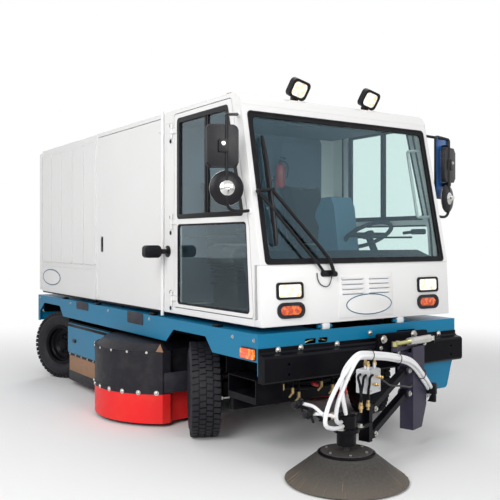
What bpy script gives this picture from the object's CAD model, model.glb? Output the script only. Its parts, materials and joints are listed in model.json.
"""Dress the street sweeper truck: paint, glass, lamps, tyres, brushes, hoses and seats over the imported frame."""

import json
import logging
import math
from dataclasses import dataclass, field
from enum import Enum
from typing import Callable, Sequence

import bmesh
import bpy
from mathutils import Matrix, Vector

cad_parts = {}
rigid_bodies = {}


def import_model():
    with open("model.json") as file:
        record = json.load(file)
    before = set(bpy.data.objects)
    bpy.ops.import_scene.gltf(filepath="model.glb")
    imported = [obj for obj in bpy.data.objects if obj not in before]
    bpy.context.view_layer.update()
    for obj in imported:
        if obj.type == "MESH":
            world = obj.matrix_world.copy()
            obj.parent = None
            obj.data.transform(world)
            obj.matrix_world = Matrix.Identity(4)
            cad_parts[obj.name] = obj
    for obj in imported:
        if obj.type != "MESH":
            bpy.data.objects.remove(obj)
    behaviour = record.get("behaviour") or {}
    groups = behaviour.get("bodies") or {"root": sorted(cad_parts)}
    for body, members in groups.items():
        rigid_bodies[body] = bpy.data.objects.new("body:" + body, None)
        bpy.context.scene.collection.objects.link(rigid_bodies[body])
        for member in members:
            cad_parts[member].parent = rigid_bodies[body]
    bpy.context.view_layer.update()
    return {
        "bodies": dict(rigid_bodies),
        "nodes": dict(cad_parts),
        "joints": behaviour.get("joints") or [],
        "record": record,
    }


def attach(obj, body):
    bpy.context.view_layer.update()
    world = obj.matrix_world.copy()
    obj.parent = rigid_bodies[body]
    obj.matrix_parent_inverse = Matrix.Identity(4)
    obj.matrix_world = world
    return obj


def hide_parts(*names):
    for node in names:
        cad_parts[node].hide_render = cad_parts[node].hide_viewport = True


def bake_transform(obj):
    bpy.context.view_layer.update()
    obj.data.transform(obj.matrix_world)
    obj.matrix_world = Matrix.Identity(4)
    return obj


LOG = logging.getLogger("sweeper")
Pair = tuple[float, float]
Triple = tuple[float, float, float]

APRON_Y = -1.805
BODY_HALF = 0.892
FENDER_HALF = 0.936
UP = Vector((0.0, 0.0, 1.0))
FORWARD = Vector((0.0, -1.0, 0.0))


def spot(x: float, back: float, z: float) -> Vector:
    """Return the point at a side distance, a distance behind the apron and a height, in metres."""
    return Vector((x, APRON_Y + back, z))


def tone(red: int, green: int, blue: int) -> Triple:
    """Turn a screen colour from 0 to 255 into linear light."""
    def linear(part: int) -> float:
        """Undo the screen's curve for one part of a colour."""
        share = part / 255
        return share / 12.92 if share <= 0.04045 else ((share + 0.055) / 1.055) ** 2.4
    return linear(red), linear(green), linear(blue)


# ---------------------------------------------------------------- shading
class Signal:
    """A number or colour socket that ordinary sums can be written with."""

    def __init__(self, shade: "Shade", socket: bpy.types.NodeSocket) -> None:
        """Keep the socket and the shade that it belongs to."""
        self.shade = shade
        self.socket = socket

    def _math(self, operation: str, first: "Signal | float", second: "Signal | float" = 0.0) -> "Signal":
        """Join two values in one Math node."""
        return Signal(self.shade, self.shade.output("ShaderNodeMath", {0: first, 1: second}, operation=operation))

    def __add__(self, other: "Signal | float") -> "Signal":
        """Add a value."""
        return self._math("ADD", self, other)

    __radd__ = __add__

    def __sub__(self, other: "Signal | float") -> "Signal":
        """Take a value away."""
        return self._math("SUBTRACT", self, other)

    def __rsub__(self, other: float) -> "Signal":
        """Take this from a value."""
        return self._math("SUBTRACT", other, self)

    def __mul__(self, other: "Signal | float") -> "Signal":
        """Multiply by a value."""
        return self._math("MULTIPLY", self, other)

    __rmul__ = __mul__

    def __pow__(self, other: float) -> "Signal":
        """Raise to a power."""
        return self._math("POWER", self, other)

    def wave(self) -> "Signal":
        """Return the sine."""
        return self._math("SINE", self)

    def span(self, low: float, high: float, to_low: float = 0.0, to_high: float = 1.0) -> "Signal":
        """Map a range smoothly to another one.

        Args:
            low: The value that becomes to_low.
            high: The value that becomes to_high.
            to_low: The result at and below low.
            to_high: The result at and above high.

        Returns:
            The mapped value.
        """
        return Signal(self.shade, self.shade.output("ShaderNodeMapRange", {0: self, 1: low, 2: high, 3: to_low,
            4: to_high}, interpolation_type="SMOOTHSTEP"))


class Nodes:
    """A node tree under construction."""

    def __init__(self, tree: bpy.types.NodeTree) -> None:
        """Empty a tree and keep it."""
        self.tree = tree
        tree.nodes.clear()

    def node(self, kind: str, inputs: dict[int | str, object] | None = None, **settings: object) -> bpy.types.Node:
        """Make one node.

        Args:
            kind: The node's type.
            inputs: A value, a socket or a Signal for each input's index or name.
            **settings: Its properties, set before the inputs.

        Returns:
            The new node.
        """
        made = self.tree.nodes.new(kind)
        for key, value in settings.items():
            setattr(made, key, value)
        for key, value in (inputs or {}).items():
            self.feed(made.inputs[key], value)
        return made

    def output(self, kind: str, inputs: dict[int | str, object] | None = None,
            **settings: object) -> bpy.types.NodeSocket:
        """Make one node and return its first output."""
        return self.node(kind, inputs, **settings).outputs[0]

    def feed(self, socket: bpy.types.NodeSocket, value: object) -> None:
        """Set or link one input."""
        if isinstance(value, Signal):
            value = value.socket
        if isinstance(value, bpy.types.NodeSocket):
            self.tree.links.new(value, socket)
        elif isinstance(value, tuple) and len(value) == 3 and socket.type == "RGBA":
            socket.default_value = (*value, 1.0)
        else:
            socket.default_value = value


class Shade(Nodes):
    """A material's node tree around one Principled shader."""

    def __init__(self, name: str) -> None:
        """Start an empty material of this name."""
        self.material = bpy.data.materials.new(name)
        self.material.use_nodes = True
        super().__init__(self.material.node_tree)
        self.surface = self.node("ShaderNodeBsdfPrincipled")
        self.out = self.node("ShaderNodeOutputMaterial", {"Surface": self.surface.outputs[0]})
        self.coords = self.node("ShaderNodeTexCoord").outputs["Object"]

    def place(self, stretch: Triple = (1.0, 1.0, 1.0)) -> bpy.types.NodeSocket:
        """Return the piece's own coordinates, stretched."""
        node = self.node("ShaderNodeMapping", {"Vector": self.coords, "Scale": stretch})
        return node.outputs[0]

    def axis(self, index: int) -> Signal:
        """Return one of the piece's own coordinates: 0, 1 or 2."""
        node = self.node("ShaderNodeSeparateXYZ", {0: self.coords})
        return Signal(self, node.outputs[index])

    def noise(self, scale: float, detail: float = 3.0, stretch: Triple = (1.0, 1.0, 1.0)) -> Signal:
        """Return a soft noise from 0 to 1 of this scale."""
        return Signal(self, self.output("ShaderNodeTexNoise", {"Vector": self.place(stretch), "Scale": scale,
            "Detail": detail}))

    def cells(self, scale: float) -> Signal:
        """Return the distance to the nearest cell's middle."""
        return Signal(self, self.output("ShaderNodeTexVoronoi", {"Vector": self.place(), "Scale": scale}))

    def blend(self, share: Signal | float, first: object, second: object) -> Signal:
        """Mix two colours."""
        node = self.node("ShaderNodeMix", {0: share, 6: first, 7: second}, data_type="RGBA")
        return Signal(self, node.outputs[2])

    def relief(self, height: Signal, depth: float, strength: float = 1.0, under: Signal | None = None) -> Signal:
        """Turn a height into a surface relief.

        Args:
            height: The height from 0 to 1.
            depth: The real depth in metres.
            strength: How strongly it shows.
            under: A relief that this one lies on.

        Returns:
            The normal for the shader.
        """
        inputs = {"Height": height, "Distance": depth, "Strength": strength}
        if under is not None:
            inputs["Normal"] = under
        return Signal(self, self.output("ShaderNodeBump", inputs))

    def soft_edge(self, radius: float) -> Signal:
        """Return a normal that rounds hard edges by a radius."""
        return Signal(self, self.output("ShaderNodeBevel", {"Radius": radius}, samples=4))

    def set(self, **inputs: object) -> None:
        """Set or link the shader's own inputs, with underscores for spaces."""
        for name, value in inputs.items():
            self.feed(self.surface.inputs[name.replace("_", " ")], value)


@dataclass(frozen=True)
class Finish:
    """A material with a name, a colour and a roughness."""

    name: str
    color: Triple
    rough: float = 0.5
    slot: str = "black_plastic"
    shine: float = 0.5

    def material(self) -> bpy.types.Material:
        """Return the material, made on first use."""
        found = bpy.data.materials.get(self.name)
        if found:
            return found
        shade = Shade(self.name)
        shade.set(Base_Color=self.color, Roughness=self.rough, Specular_IOR_Level=self.shine)
        self.dress(shade)
        return shade.material

    def dress(self, shade: Shade) -> None:
        """Add the finish's own detail to a shade."""


@dataclass(frozen=True)
class Enamel(Finish):
    """Sprayed paint with faint orange peel, soft edges and road film near the ground."""

    film: float = 0.25
    film_color: Triple = (0.16, 0.15, 0.13)
    film_top: float = 0.9
    edge: float = 0.006
    gloss: float = 0.25

    def dress(self, shade: Shade) -> None:
        """Add colour drift, film, peel and a thin clear coat."""
        drift = shade.noise(1.7, 4.0)
        shifted = shade.blend(drift * 0.35, self.color, tuple(part * 0.86 for part in self.color))
        low = shade.axis(2).span(0.05, self.film_top, 1.0, 0.0)
        spots = shade.noise(9.0, 6.0).span(0.42, 0.75)
        film = low * spots * self.film
        shade.set(Base_Color=shade.blend(film, shifted, self.film_color))
        shade.set(Roughness=shade.noise(3.5, 3.0) * 0.1 + (self.rough - 0.05) + film * 0.4)
        rounded = shade.soft_edge(self.edge)
        peel = shade.noise(260.0, 1.0) * 0.5 + shade.noise(1.2, 2.0) * 6.0
        shade.set(Normal=shade.relief(peel, 0.0002, 0.5, rounded))
        shade.set(Coat_Weight=self.gloss, Coat_Roughness=0.08)


@dataclass(frozen=True)
class Elastomer(Finish):
    """Rubber with a dull grain and a dusty bloom."""

    bloom: float = 0.35
    bloom_color: Triple = (0.13, 0.12, 0.11)
    slot: str = "black_rubber"

    def dress(self, shade: Shade) -> None:
        """Add bloom and grain."""
        patches = shade.noise(11.0, 6.0).span(0.4, 0.78)
        shade.set(Base_Color=shade.blend(patches * self.bloom, self.color, self.bloom_color))
        shade.set(Roughness=shade.noise(24.0, 3.0) * 0.2 + (self.rough - 0.1))
        grain = shade.noise(420.0, 2.0) * 0.5 + shade.noise(35.0, 4.0)
        shade.set(Normal=shade.relief(grain, 0.0006, 0.6))


@dataclass(frozen=True)
class Moulding(Finish):
    """Moulded plastic with a pebbled skin."""

    pebble: float = 520.0

    def dress(self, shade: Shade) -> None:
        """Add drift and pebbles."""
        drift = shade.noise(6.0, 3.0)
        shade.set(Base_Color=shade.blend(drift * 0.5, self.color, tuple(min(1, part * 1.35 + 0.004)
            for part in self.color)))
        shade.set(Roughness=shade.noise(30.0, 2.0) * 0.12 + (self.rough - 0.06))
        shade.set(Normal=shade.relief(shade.cells(self.pebble), 0.0003, 0.5, shade.soft_edge(0.0015)))


@dataclass(frozen=True)
class Metal(Finish):
    """Bare or plated metal: drawn streaks, or a cast skin where cast is set."""

    cast: bool = False
    streak: Triple = (60.0, 60.0, 8.0)
    tarnish: Triple = (0.2, 0.17, 0.12)
    slot: str = "zinc"

    def dress(self, shade: Shade) -> None:
        """Add tarnish and a drawn or cast relief."""
        stain = shade.noise(14.0, 5.0).span(0.45, 0.8)
        shade.set(Base_Color=shade.blend(stain * 0.45, self.color, self.tarnish), Metallic=1.0)
        if self.cast:
            height = shade.noise(180.0, 4.0)
            shade.set(Normal=shade.relief(height, 0.0008, 0.7), Roughness=shade.noise(40.0, 3.0) * 0.2 + self.rough)
        else:
            height = shade.noise(6.0, 3.0, self.streak)
            shade.set(Normal=shade.relief(height, 0.0002, 0.4), Roughness=height * 0.22 + (self.rough - 0.08))


@dataclass(frozen=True)
class Pane(Finish):
    """Clear tinted glass with faint waviness."""

    slot: str = "tinted_glass"

    def dress(self, shade: Shade) -> None:
        """Let light through, with a little waviness and dust."""
        shade.set(Transmission_Weight=1.0, IOR=1.52, Specular_Tint=(0.5, 0.78, 1.0))
        dust = shade.noise(5.0, 5.0).span(0.5, 0.9)
        shade.set(Roughness=dust * 0.05 + self.rough)
        shade.set(Normal=shade.relief(shade.noise(2.5, 1.0), 0.0006, 0.25))


@dataclass(frozen=True)
class Lens(Finish):
    """A ribbed lamp lens that glows by a strength."""

    light: Triple = (1.0, 0.75, 0.4)
    glow: float = 0.0
    ribs: float = 260.0
    slot: str = "clear_plastic"

    def dress(self, shade: Shade) -> None:
        """Add prisms and a hot middle."""
        across = (shade.axis(0) * self.ribs).wave() * 0.5 + 0.5
        up = (shade.axis(2) * self.ribs).wave() * 0.5 + 0.5
        prisms = across * 0.5 + up * 0.5
        lit = shade.blend(shade.noise(34.0, 4.0).span(0.48, 0.6), self.color, self.light)
        shade.set(Base_Color=lit, Roughness=prisms * 0.1 + self.rough, Coat_Weight=1.0, Coat_Roughness=0.03)
        shade.set(Normal=shade.relief(prisms, 0.0008, 0.6), Emission_Color=lit, Emission_Strength=self.glow)


@dataclass(frozen=True)
class Weave(Finish):
    """Woven seat cloth."""

    pitch: float = 2400.0
    slot: str = "seat_cloth"

    def dress(self, shade: Shade) -> None:
        """Add crossing threads and a faint sheen."""
        warp = (shade.axis(0) * self.pitch).wave()
        weft = ((shade.axis(1) + shade.axis(2)) * self.pitch).wave()
        threads = warp * weft * 0.5 + 0.5
        fade = shade.noise(7.0, 4.0)
        shade.set(Base_Color=shade.blend(threads * 0.4 + fade * 0.3, self.color,
            tuple(part * 1.9 for part in self.color)))
        shade.set(Roughness=threads * 0.1 + (self.rough - 0.05), Normal=shade.relief(threads, 0.0004, 0.7))
        shade.set(Sheen_Weight=0.3)


@dataclass(frozen=True)
class Strand(Finish):
    """Bristles: each clump a little lighter or darker, dusty at the tips."""

    tip: Triple = (0.25, 0.2, 0.14)
    tip_z: float = 0.14
    slot: str = "bristle"

    def dress(self, shade: Shade) -> None:
        """Add clumps and dusty tips."""
        clump = shade.noise(60.0, 2.0)
        mixed = shade.blend(clump, self.color, tuple(part * 0.4 for part in self.color))
        low = shade.axis(2).span(0.0, self.tip_z, 0.7, 0.0)
        shade.set(Base_Color=shade.blend(low, mixed, self.tip), Roughness=clump * 0.2 + (self.rough - 0.1))
        shade.set(Normal=shade.relief(clump, 0.0005, 0.4))


@dataclass(frozen=True)
class Silvering(Finish):
    """Mirror glass with a little haze."""

    slot: str = "zinc"

    def dress(self, shade: Shade) -> None:
        """Make it reflect, with faint haze."""
        haze = shade.noise(8.0, 4.0)
        shade.set(Metallic=1.0, Roughness=haze * 0.04 + self.rough)
        shade.set(Normal=shade.relief(haze, 0.0002, 0.2))


WHITE = Enamel("white_cab_paint", (0.8, 0.795, 0.79), 0.34, "white_paint", film=0.12, film_top=1.2, edge=0.006,
    gloss=0.15)
TEAL = Enamel("teal_chassis_paint", tone(6, 116, 156), 0.34, "teal_paint", 0.25, film=0.25, gloss=0.08)
BLACK = Enamel("black_frame_paint", (0.004, 0.004, 0.006), 0.3, "black_paint", 0.08, film=0.04, edge=0.003, gloss=0.0)
TOWER = Enamel("tower_grey_paint", tone(50, 48, 66), 0.42, "black_paint", 0.2, film=0.1, edge=0.004, gloss=0.03)
MACHINE = Enamel("grey_machine_paint", (0.3, 0.31, 0.32), 0.5, "grey_paint", film=0.5, edge=0.003)
EMBLEM = Enamel("emblem_line", tone(30, 92, 120), 0.35, "teal_paint", film=0.0, edge=0.001)
RUBBER = Elastomer("black_rubber_sheet", (0.013, 0.012, 0.017), 0.5, shine=0.22, bloom=0.12)
SEAL = Elastomer("window_seal_rubber", (0.006, 0.006, 0.008), 0.45, shine=0.15, bloom=0.05)
GREY_RUBBER = Elastomer("grey_rubber_mat", (0.032, 0.032, 0.044), 0.6, shine=0.25, bloom=0.2)
RED_RUBBER = Elastomer("red_skirt_rubber", tone(232, 34, 36), 0.45, "red_rubber", 0.3, bloom=0.3,
    bloom_color=tone(226, 74, 50))
TAN_RUBBER = Elastomer("tan_flap_rubber", tone(150, 112, 84), 0.6, "red_rubber", bloom=0.4,
    bloom_color=tone(110, 80, 60))
TYRE = Elastomer("tyre_rubber", (0.014, 0.014, 0.018), 0.6, "tyre", 0.25, bloom=0.3, bloom_color=(0.035, 0.035, 0.04))
PLASTIC = Moulding("black_moulded_plastic", (0.006, 0.006, 0.008), 0.32, shine=0.22)
TRIM = Moulding("dark_trim_plastic", (0.11, 0.15, 0.2), 0.6, shine=0.2)
CONSOLE = Moulding("blue_grey_console_plastic", tone(74, 108, 130), 0.5, "console_plastic", 0.3)
DASH = Moulding("dash_plastic", (0.01, 0.013, 0.016), 0.55, "console_plastic", 0.2)
WHITE_HOSE = Moulding("white_hose_jacket", (0.74, 0.74, 0.76), 0.38, "clear_plastic", pebble=300.0)
BLACK_HOSE = Elastomer("black_hose_rubber", (0.014, 0.014, 0.015), 0.5)
ZINC = Metal("zinc_plate", (0.62, 0.61, 0.58), 0.34)
BRASS = Metal("brass_fitting", (0.6, 0.43, 0.2), 0.32, tarnish=(0.25, 0.16, 0.07))
CHROME = Metal("chromed_rod", (0.66, 0.66, 0.64), 0.14, tarnish=(0.5, 0.49, 0.46))
YELLOW_ROD = Metal("yellow_chromate_rod", (0.55, 0.52, 0.22), 0.3, tarnish=(0.4, 0.34, 0.12))
CAST_GREY = Metal("cast_aluminium_block", (0.6, 0.61, 0.63), 0.42, "cast_aluminium", cast=True, tarnish=(0.4, 0.4, 0.4))
CAST_IRON = Metal("cast_iron_skin", (0.06, 0.06, 0.06), 0.5, "cast_metal", cast=True, tarnish=(0.09, 0.06, 0.04))
GLASS = Pane("tinted_cab_glass", (0.8, 0.93, 0.92), 0.01)
CLEAR = Pane("clear_lens_glass", (0.95, 0.95, 0.93), 0.03, "clear_plastic")
HEADLIGHT = Lens("headlamp_lens", (0.96, 0.9, 0.84), 0.12, light=(0.96, 0.66, 0.44), glow=0.42, ribs=330.0)
WORK_LIGHT = Lens("work_lamp_lens", (0.96, 0.9, 0.8), 0.12, light=(0.98, 0.66, 0.42), glow=0.42, ribs=280.0)
AMBER = Lens("amber_lens", tone(196, 64, 8), 0.15, light=tone(240, 112, 24), glow=0.06, ribs=420.0)
BEACON = Lens("beacon_dome", tone(226, 96, 12), 0.15, light=tone(250, 150, 60), glow=0.18, ribs=200.0)
MARKER = Lens("marker_lens", tone(226, 78, 16), 0.2, light=tone(250, 150, 40), glow=0.22, ribs=300.0)
RED_LENS = Lens("red_lens", tone(170, 16, 16), 0.15, light=tone(200, 40, 30), glow=0.05)
CLOTH = Weave("seat_weave", (0.01, 0.011, 0.014), 0.85, shine=0.2)
BRISTLE = Strand("tan_bristle", (0.26, 0.18, 0.1), 0.7)
DARK_BRISTLE = Strand("dark_bristle", (0.05, 0.045, 0.04), 0.7, tip=(0.12, 0.1, 0.08))
MIRROR = Silvering("mirror_glass", (0.86, 0.88, 0.9), 0.02)
BLUE_BACK = Moulding("blue_mirror_back", tone(24, 92, 160), 0.3)
RED_PAINT = Enamel("red_bottle_paint", tone(176, 26, 24), 0.3, "red_rubber", film=0.0)
LINK_WHITE = Enamel("white_handle_paint", (0.75, 0.76, 0.76), 0.35, "white_paint", film=0.0, edge=0.002)


# ---------------------------------------------------------------- shapes
def stand(origin: Vector, along: Sequence[float], up: Sequence[float]) -> Matrix:
    """Return the matrix of a local frame.

    Args:
        origin: Where the frame stands.
        along: The way of its local x.
        up: Roughly the way of its local y.

    Returns:
        A matrix that takes local points to the vehicle's frame.
    """
    x = Vector(along).normalized()
    z = x.cross(Vector(up)).normalized()
    y = z.cross(x)
    return Matrix.Translation(origin) @ Matrix((x, y, z)).transposed().to_4x4()


def offset(x: float, y: float, z: float) -> Matrix:
    """Return the matrix that moves by these lengths."""
    return Matrix.Translation((x, y, z))


def heading(start: Vector, way: Vector) -> Matrix:
    """Return a frame at a start whose local z goes a way."""
    side = (UP if abs(way.normalized().z) < 0.9 else Vector((1, 0, 0))).cross(way)
    where = stand(start, side, way.cross(side))
    return where @ Matrix.Rotation(math.pi, 4, "X") if (where.to_3x3() @ UP).dot(way) < 0 else where


def rear_face(x: float, back: float, z: float) -> Matrix:
    """Return a frame on a rearward face: local x to the vehicle's right, y up, z rearwards."""
    return stand(spot(x, back, z), (-1, 0, 0), (0, 0, 1))


def front_face(x: float, back: float, z: float) -> Matrix:
    """Return a frame on a forward face: local x to the vehicle's left, y up, z forwards."""
    return stand(spot(x, back, z), (1, 0, 0), (0, 0, 1))


class Side(Enum):
    """The two sides of the vehicle; each value is the sign of its x."""

    RIGHT = -1
    LEFT = 1

    @property
    def tag(self) -> str:
        """Return the side's name for pieces and bodies."""
        return self.name.lower()

    def plane(self, out: float, back: float = 0.0, z: float = 0.0) -> Matrix:
        """Return a frame on the side at a distance out: local x rearwards on the left, y up, z outwards.

        Args:
            out: Its distance out from the middle.
            back: How far behind the apron it stands.
            z: Its height.

        Returns:
            The frame.
        """
        return stand(spot(self.value * out, 0.0, 0.0), (0, self.value, 0), (0, 0, 1)) @ offset(self.value * back, z,
            0.0)

    def turned(self, outline: Sequence[Pair]) -> list[Pair]:
        """Fit an outline of distances behind the apron and heights to the side's frame."""
        turned = [(self.value * back, z) for back, z in outline]
        return turned if self is Side.LEFT else turned[::-1]

    def spot(self, out: float, back: float, z: float) -> Vector:
        """Return the point at a distance out to this side, a distance behind the apron and a height."""
        return spot(self.value * out, back, z)

    def out(self) -> Vector:
        """Return the way out of the side."""
        return Vector((self.value, 0.0, 0.0))


def rounded(outline: Sequence[Pair], radius: float, steps: int = 5) -> list[Pair]:
    """Round the corners of a convex outline.

    Args:
        outline: Its corners in order.
        radius: The corner radius.
        steps: Points per corner, less one.

    Returns:
        The outline's points.
    """
    points: list[Pair] = []
    corners = [Vector(corner) for corner in outline]
    for index, corner in enumerate(corners):
        before = (corners[index - 1] - corner).normalized()
        after = (corners[(index + 1) % len(corners)] - corner).normalized()
        half = before.angle(after) / 2
        reach = radius / math.tan(half)
        middle = corner + (before + after).normalized() * (radius / math.sin(half))
        start = corner + before * reach - middle
        end = corner + after * reach - middle
        turn = start.angle_signed(end)
        for step in range(steps + 1):
            angle = -turn * step / steps
            cos, sin = math.cos(angle), math.sin(angle)
            points.append((middle.x + start.x * cos - start.y * sin, middle.y + start.x * sin + start.y * cos))
    return points


def oblong(width: float, height: float) -> list[Pair]:
    """Return a rectangle's corners about its middle."""
    return [(-width / 2, -height / 2), (width / 2, -height / 2), (width / 2, height / 2), (-width / 2, height / 2)]


def slab(width: float, height: float, radius: float) -> list[Pair]:
    """Return the points of a rectangle about its middle with round corners."""
    return rounded(oblong(width, height), radius)


def circle(radius: float, count: int, height: float = 0.0, phase: float = 0.0) -> list[Vector]:
    """Return points round the local z at a height, the first a share of a step on."""
    angles = [2 * math.pi * (k + phase) / count for k in range(count)]
    return [Vector((radius * math.cos(angle), radius * math.sin(angle), height)) for angle in angles]


def oval(width: float, height: float, steps: int = 48) -> list[Pair]:
    """Return an ellipse's points about its middle."""
    return [(width / 2 * math.cos(2 * math.pi * k / steps), height / 2 * math.sin(2 * math.pi * k / steps))
        for k in range(steps)]


def grown(outline: Sequence[Pair], amount: float) -> list[Pair]:
    """Move each edge of a convex outline outwards by an amount.

    Args:
        outline: Corners in counter-clockwise order.
        amount: How far; a negative amount shrinks it.

    Returns:
        The moved corners.
    """
    corners = [Vector(corner) for corner in outline]
    moved: list[Pair] = []
    for index, corner in enumerate(corners):
        before = (corner - corners[index - 1]).normalized()
        after = (corners[(index + 1) % len(corners)] - corner).normalized()
        normal = Vector((before.y, -before.x)) + Vector((after.y, -after.x))
        normal.normalize()
        share = amount / max(0.2, normal.dot(Vector((before.y, -before.x))))
        moved.append(tuple(corner + normal * share))
    return moved


def smooth_route(points: Sequence[Vector], finer: int = 12) -> list[Vector]:
    """Read the points of a smooth NURBS line over control points.

    Args:
        points: The control points.
        finer: Points for each control point.

    Returns:
        The points along the line.
    """
    curve = bpy.data.curves.new("route", "CURVE")
    curve.dimensions = "3D"
    curve.resolution_u = finer
    spline = curve.splines.new("NURBS")
    spline.points.add(len(points) - 1)
    for target, point in zip(spline.points, points):
        target.co = (*point, 1.0)
    spline.order_u = 3
    spline.use_endpoint_u = True
    carrier = bpy.data.objects.new("route", curve)
    bpy.context.scene.collection.objects.link(carrier)
    mesh = bpy.data.meshes.new_from_object(carrier)
    read = [vertex.co.copy() for vertex in mesh.vertices]
    bpy.data.objects.remove(carrier)
    bpy.data.curves.remove(curve)
    bpy.data.meshes.remove(mesh)
    return read


def bend(points: Sequence[Triple], place: Callable[..., Vector] = spot, finer: int = 12) -> list[Vector]:
    """Return a smooth line over control points that a rule puts in their places."""
    return smooth_route([place(*point) for point in points], finer)


class Form:
    """One piece under construction, in the vehicle's frame."""

    def __init__(self, name: str, finish: Finish) -> None:
        """Start an empty piece of this name and finish."""
        self.name = name
        self.finish = finish
        self.bm = bmesh.new()

    def block(self, middle: Vector, size: Triple, turn: Matrix | None = None, edge: float = 0.003,
            steps: int = 2) -> "Form":
        """Add a block with rounded edges.

        Args:
            middle: Its middle.
            size: Its lengths.
            turn: A rotation about its middle.
            edge: The radius of its edges.
            steps: Segments in an edge.

        Returns:
            This form.
        """
        made = bmesh.ops.create_cube(self.bm, size=1.0)["verts"]
        where = Matrix.Translation(middle) @ (turn or Matrix()) @ Matrix.Diagonal((*size, 1.0))
        bmesh.ops.transform(self.bm, matrix=where, verts=made)
        if edge:
            edges = list({link for vertex in made for link in vertex.link_edges})
            bmesh.ops.bevel(self.bm, geom=edges, offset=edge, segments=steps, profile=0.5, affect="EDGES",
                clamp_overlap=True)
        return self

    def prism(self, outline: Sequence[Pair], depth: float, where: Matrix, edge: float = 0.0) -> "Form":
        """Add a plate of an outline that grows along the frame's z.

        Args:
            outline: Its points in the frame, counter-clockwise.
            depth: Its thickness.
            where: The frame.
            edge: The radius of its front edge.

        Returns:
            This form.
        """
        low = [self.bm.verts.new(where @ Vector((x, y, 0.0))) for x, y in outline]
        high = [self.bm.verts.new(where @ Vector((x, y, depth))) for x, y in outline]
        self.bm.faces.new(reversed(low))
        top = self.bm.faces.new(high)
        count = len(outline)
        for index in range(count):
            following = (index + 1) % count
            self.bm.faces.new((low[index], low[following], high[following], high[index]))
        if edge:
            bmesh.ops.bevel(self.bm, geom=list(top.edges), offset=edge, segments=3, profile=0.5, affect="EDGES",
                clamp_overlap=True)
        return self

    def ring(self, outer: Sequence[Pair], inner: Sequence[Pair], depth: float, where: Matrix) -> "Form":
        """Add a flat ring between two outlines with equally many points.

        Args:
            outer: The outer outline.
            inner: The inner outline.
            depth: Its thickness.
            where: The frame.

        Returns:
            This form.
        """
        rows = [[self.bm.verts.new(where @ Vector((x, y, z))) for x, y in line] for line,
            z in ((outer, 0.0), (outer, depth), (inner, depth), (inner, 0.0))]
        count = len(outer)
        for index in range(count):
            following = (index + 1) % count
            for row in range(4):
                first, second = rows[row], rows[(row + 1) % 4]
                self.bm.faces.new((first[index], first[following], second[following], second[index]))
        return self

    def lathe(self, profile: Sequence[Pair], where: Matrix, sides: int = 32, closed: bool = False) -> "Form":
        """Turn a profile of radius and height about the frame's z.

        Args:
            profile: Points of radius and height.
            where: The frame.
            sides: Steps round the axis.
            closed: Whether the last point joins the first, as in a tyre.

        Returns:
            This form.
        """
        rings: list[list[bmesh.types.BMVert]] = []
        for radius, height in profile:
            if radius < 1e-6:
                rings.append([self.bm.verts.new(where @ Vector((0.0, 0.0, height)))] * sides)
                continue
            rings.append([self.bm.verts.new(where @ point) for point in circle(radius, sides, height)])
        pairs = list(zip(rings, rings[1:])) + ([(rings[-1], rings[0])] if closed else [])
        for low, high in pairs:
            for k in range(sides):
                after = (k + 1) % sides
                corners = list(dict.fromkeys((low[k], low[after], high[after], high[k])))
                if len(corners) > 2:
                    self.bm.faces.new(corners)
        if not closed:
            for end in (rings[0], rings[-1]):
                if end[0] is not end[1]:
                    self.bm.faces.new(end)
        return self

    def rod(self, start: Vector, end: Vector, radius: float, sides: int = 20) -> "Form":
        """Add a round rod with softened ends."""
        length = (end - start).length
        soft = min(radius * 0.2, length * 0.2)
        return self.lathe([(radius - soft, 0.0), (radius, soft), (radius, length - soft), (radius - soft, length)],
            heading(start, (end - start).normalized()), sides)

    def tube(self, points: Sequence[Vector], radius: float | Sequence[float], sides: int = 12,
            closed: bool = False) -> "Form":
        """Sweep a circle along points.

        Args:
            points: The middle line.
            radius: One radius, or one for each point.
            sides: Sides of the circle.
            closed: Whether the line is a loop.

        Returns:
            This form.
        """
        count = len(points)
        sizes = [radius] * count if isinstance(radius, float) else list(radius)
        frame_up = UP
        rings: list[list[bmesh.types.BMVert]] = []
        for index, point in enumerate(points):
            ahead = points[(index + 1) % count] if closed or index < count - 1 else point
            behind = points[index - 1] if closed or index else point
            way = (ahead - behind).normalized()
            if index == 0 and abs(way.z) > 0.9:
                frame_up = Vector((1.0, 0.0, 0.0))
            side = frame_up.cross(way).normalized()
            frame_up = way.cross(side).normalized()
            rings.append([self.bm.verts.new(point + (side * math.cos(2 * math.pi * k / sides) + frame_up *
                math.sin(2 * math.pi * k / sides)) * sizes[index]) for k in range(sides)])
        pairs = list(zip(rings, rings[1:])) + ([(rings[-1], rings[0])] if closed else [])
        for low, high in pairs:
            for k in range(sides):
                after = (k + 1) % sides
                self.bm.faces.new((low[k], low[after], high[after], high[k]))
        if not closed:
            self.bm.faces.new(reversed(rings[0]))
            self.bm.faces.new(rings[-1])
        return self

    def take(self, mesh: bpy.types.Mesh, where: Matrix | None = None) -> "Form":
        """Add a finished mesh, moved by a matrix."""
        grown_in = bmesh.new()
        grown_in.from_mesh(mesh)
        if where is not None:
            bmesh.ops.transform(grown_in, matrix=where, verts=grown_in.verts)
        moved = bpy.data.meshes.new("moved")
        grown_in.to_mesh(moved)
        grown_in.free()
        self.bm.from_mesh(moved)
        bpy.data.meshes.remove(moved)
        return self

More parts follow.
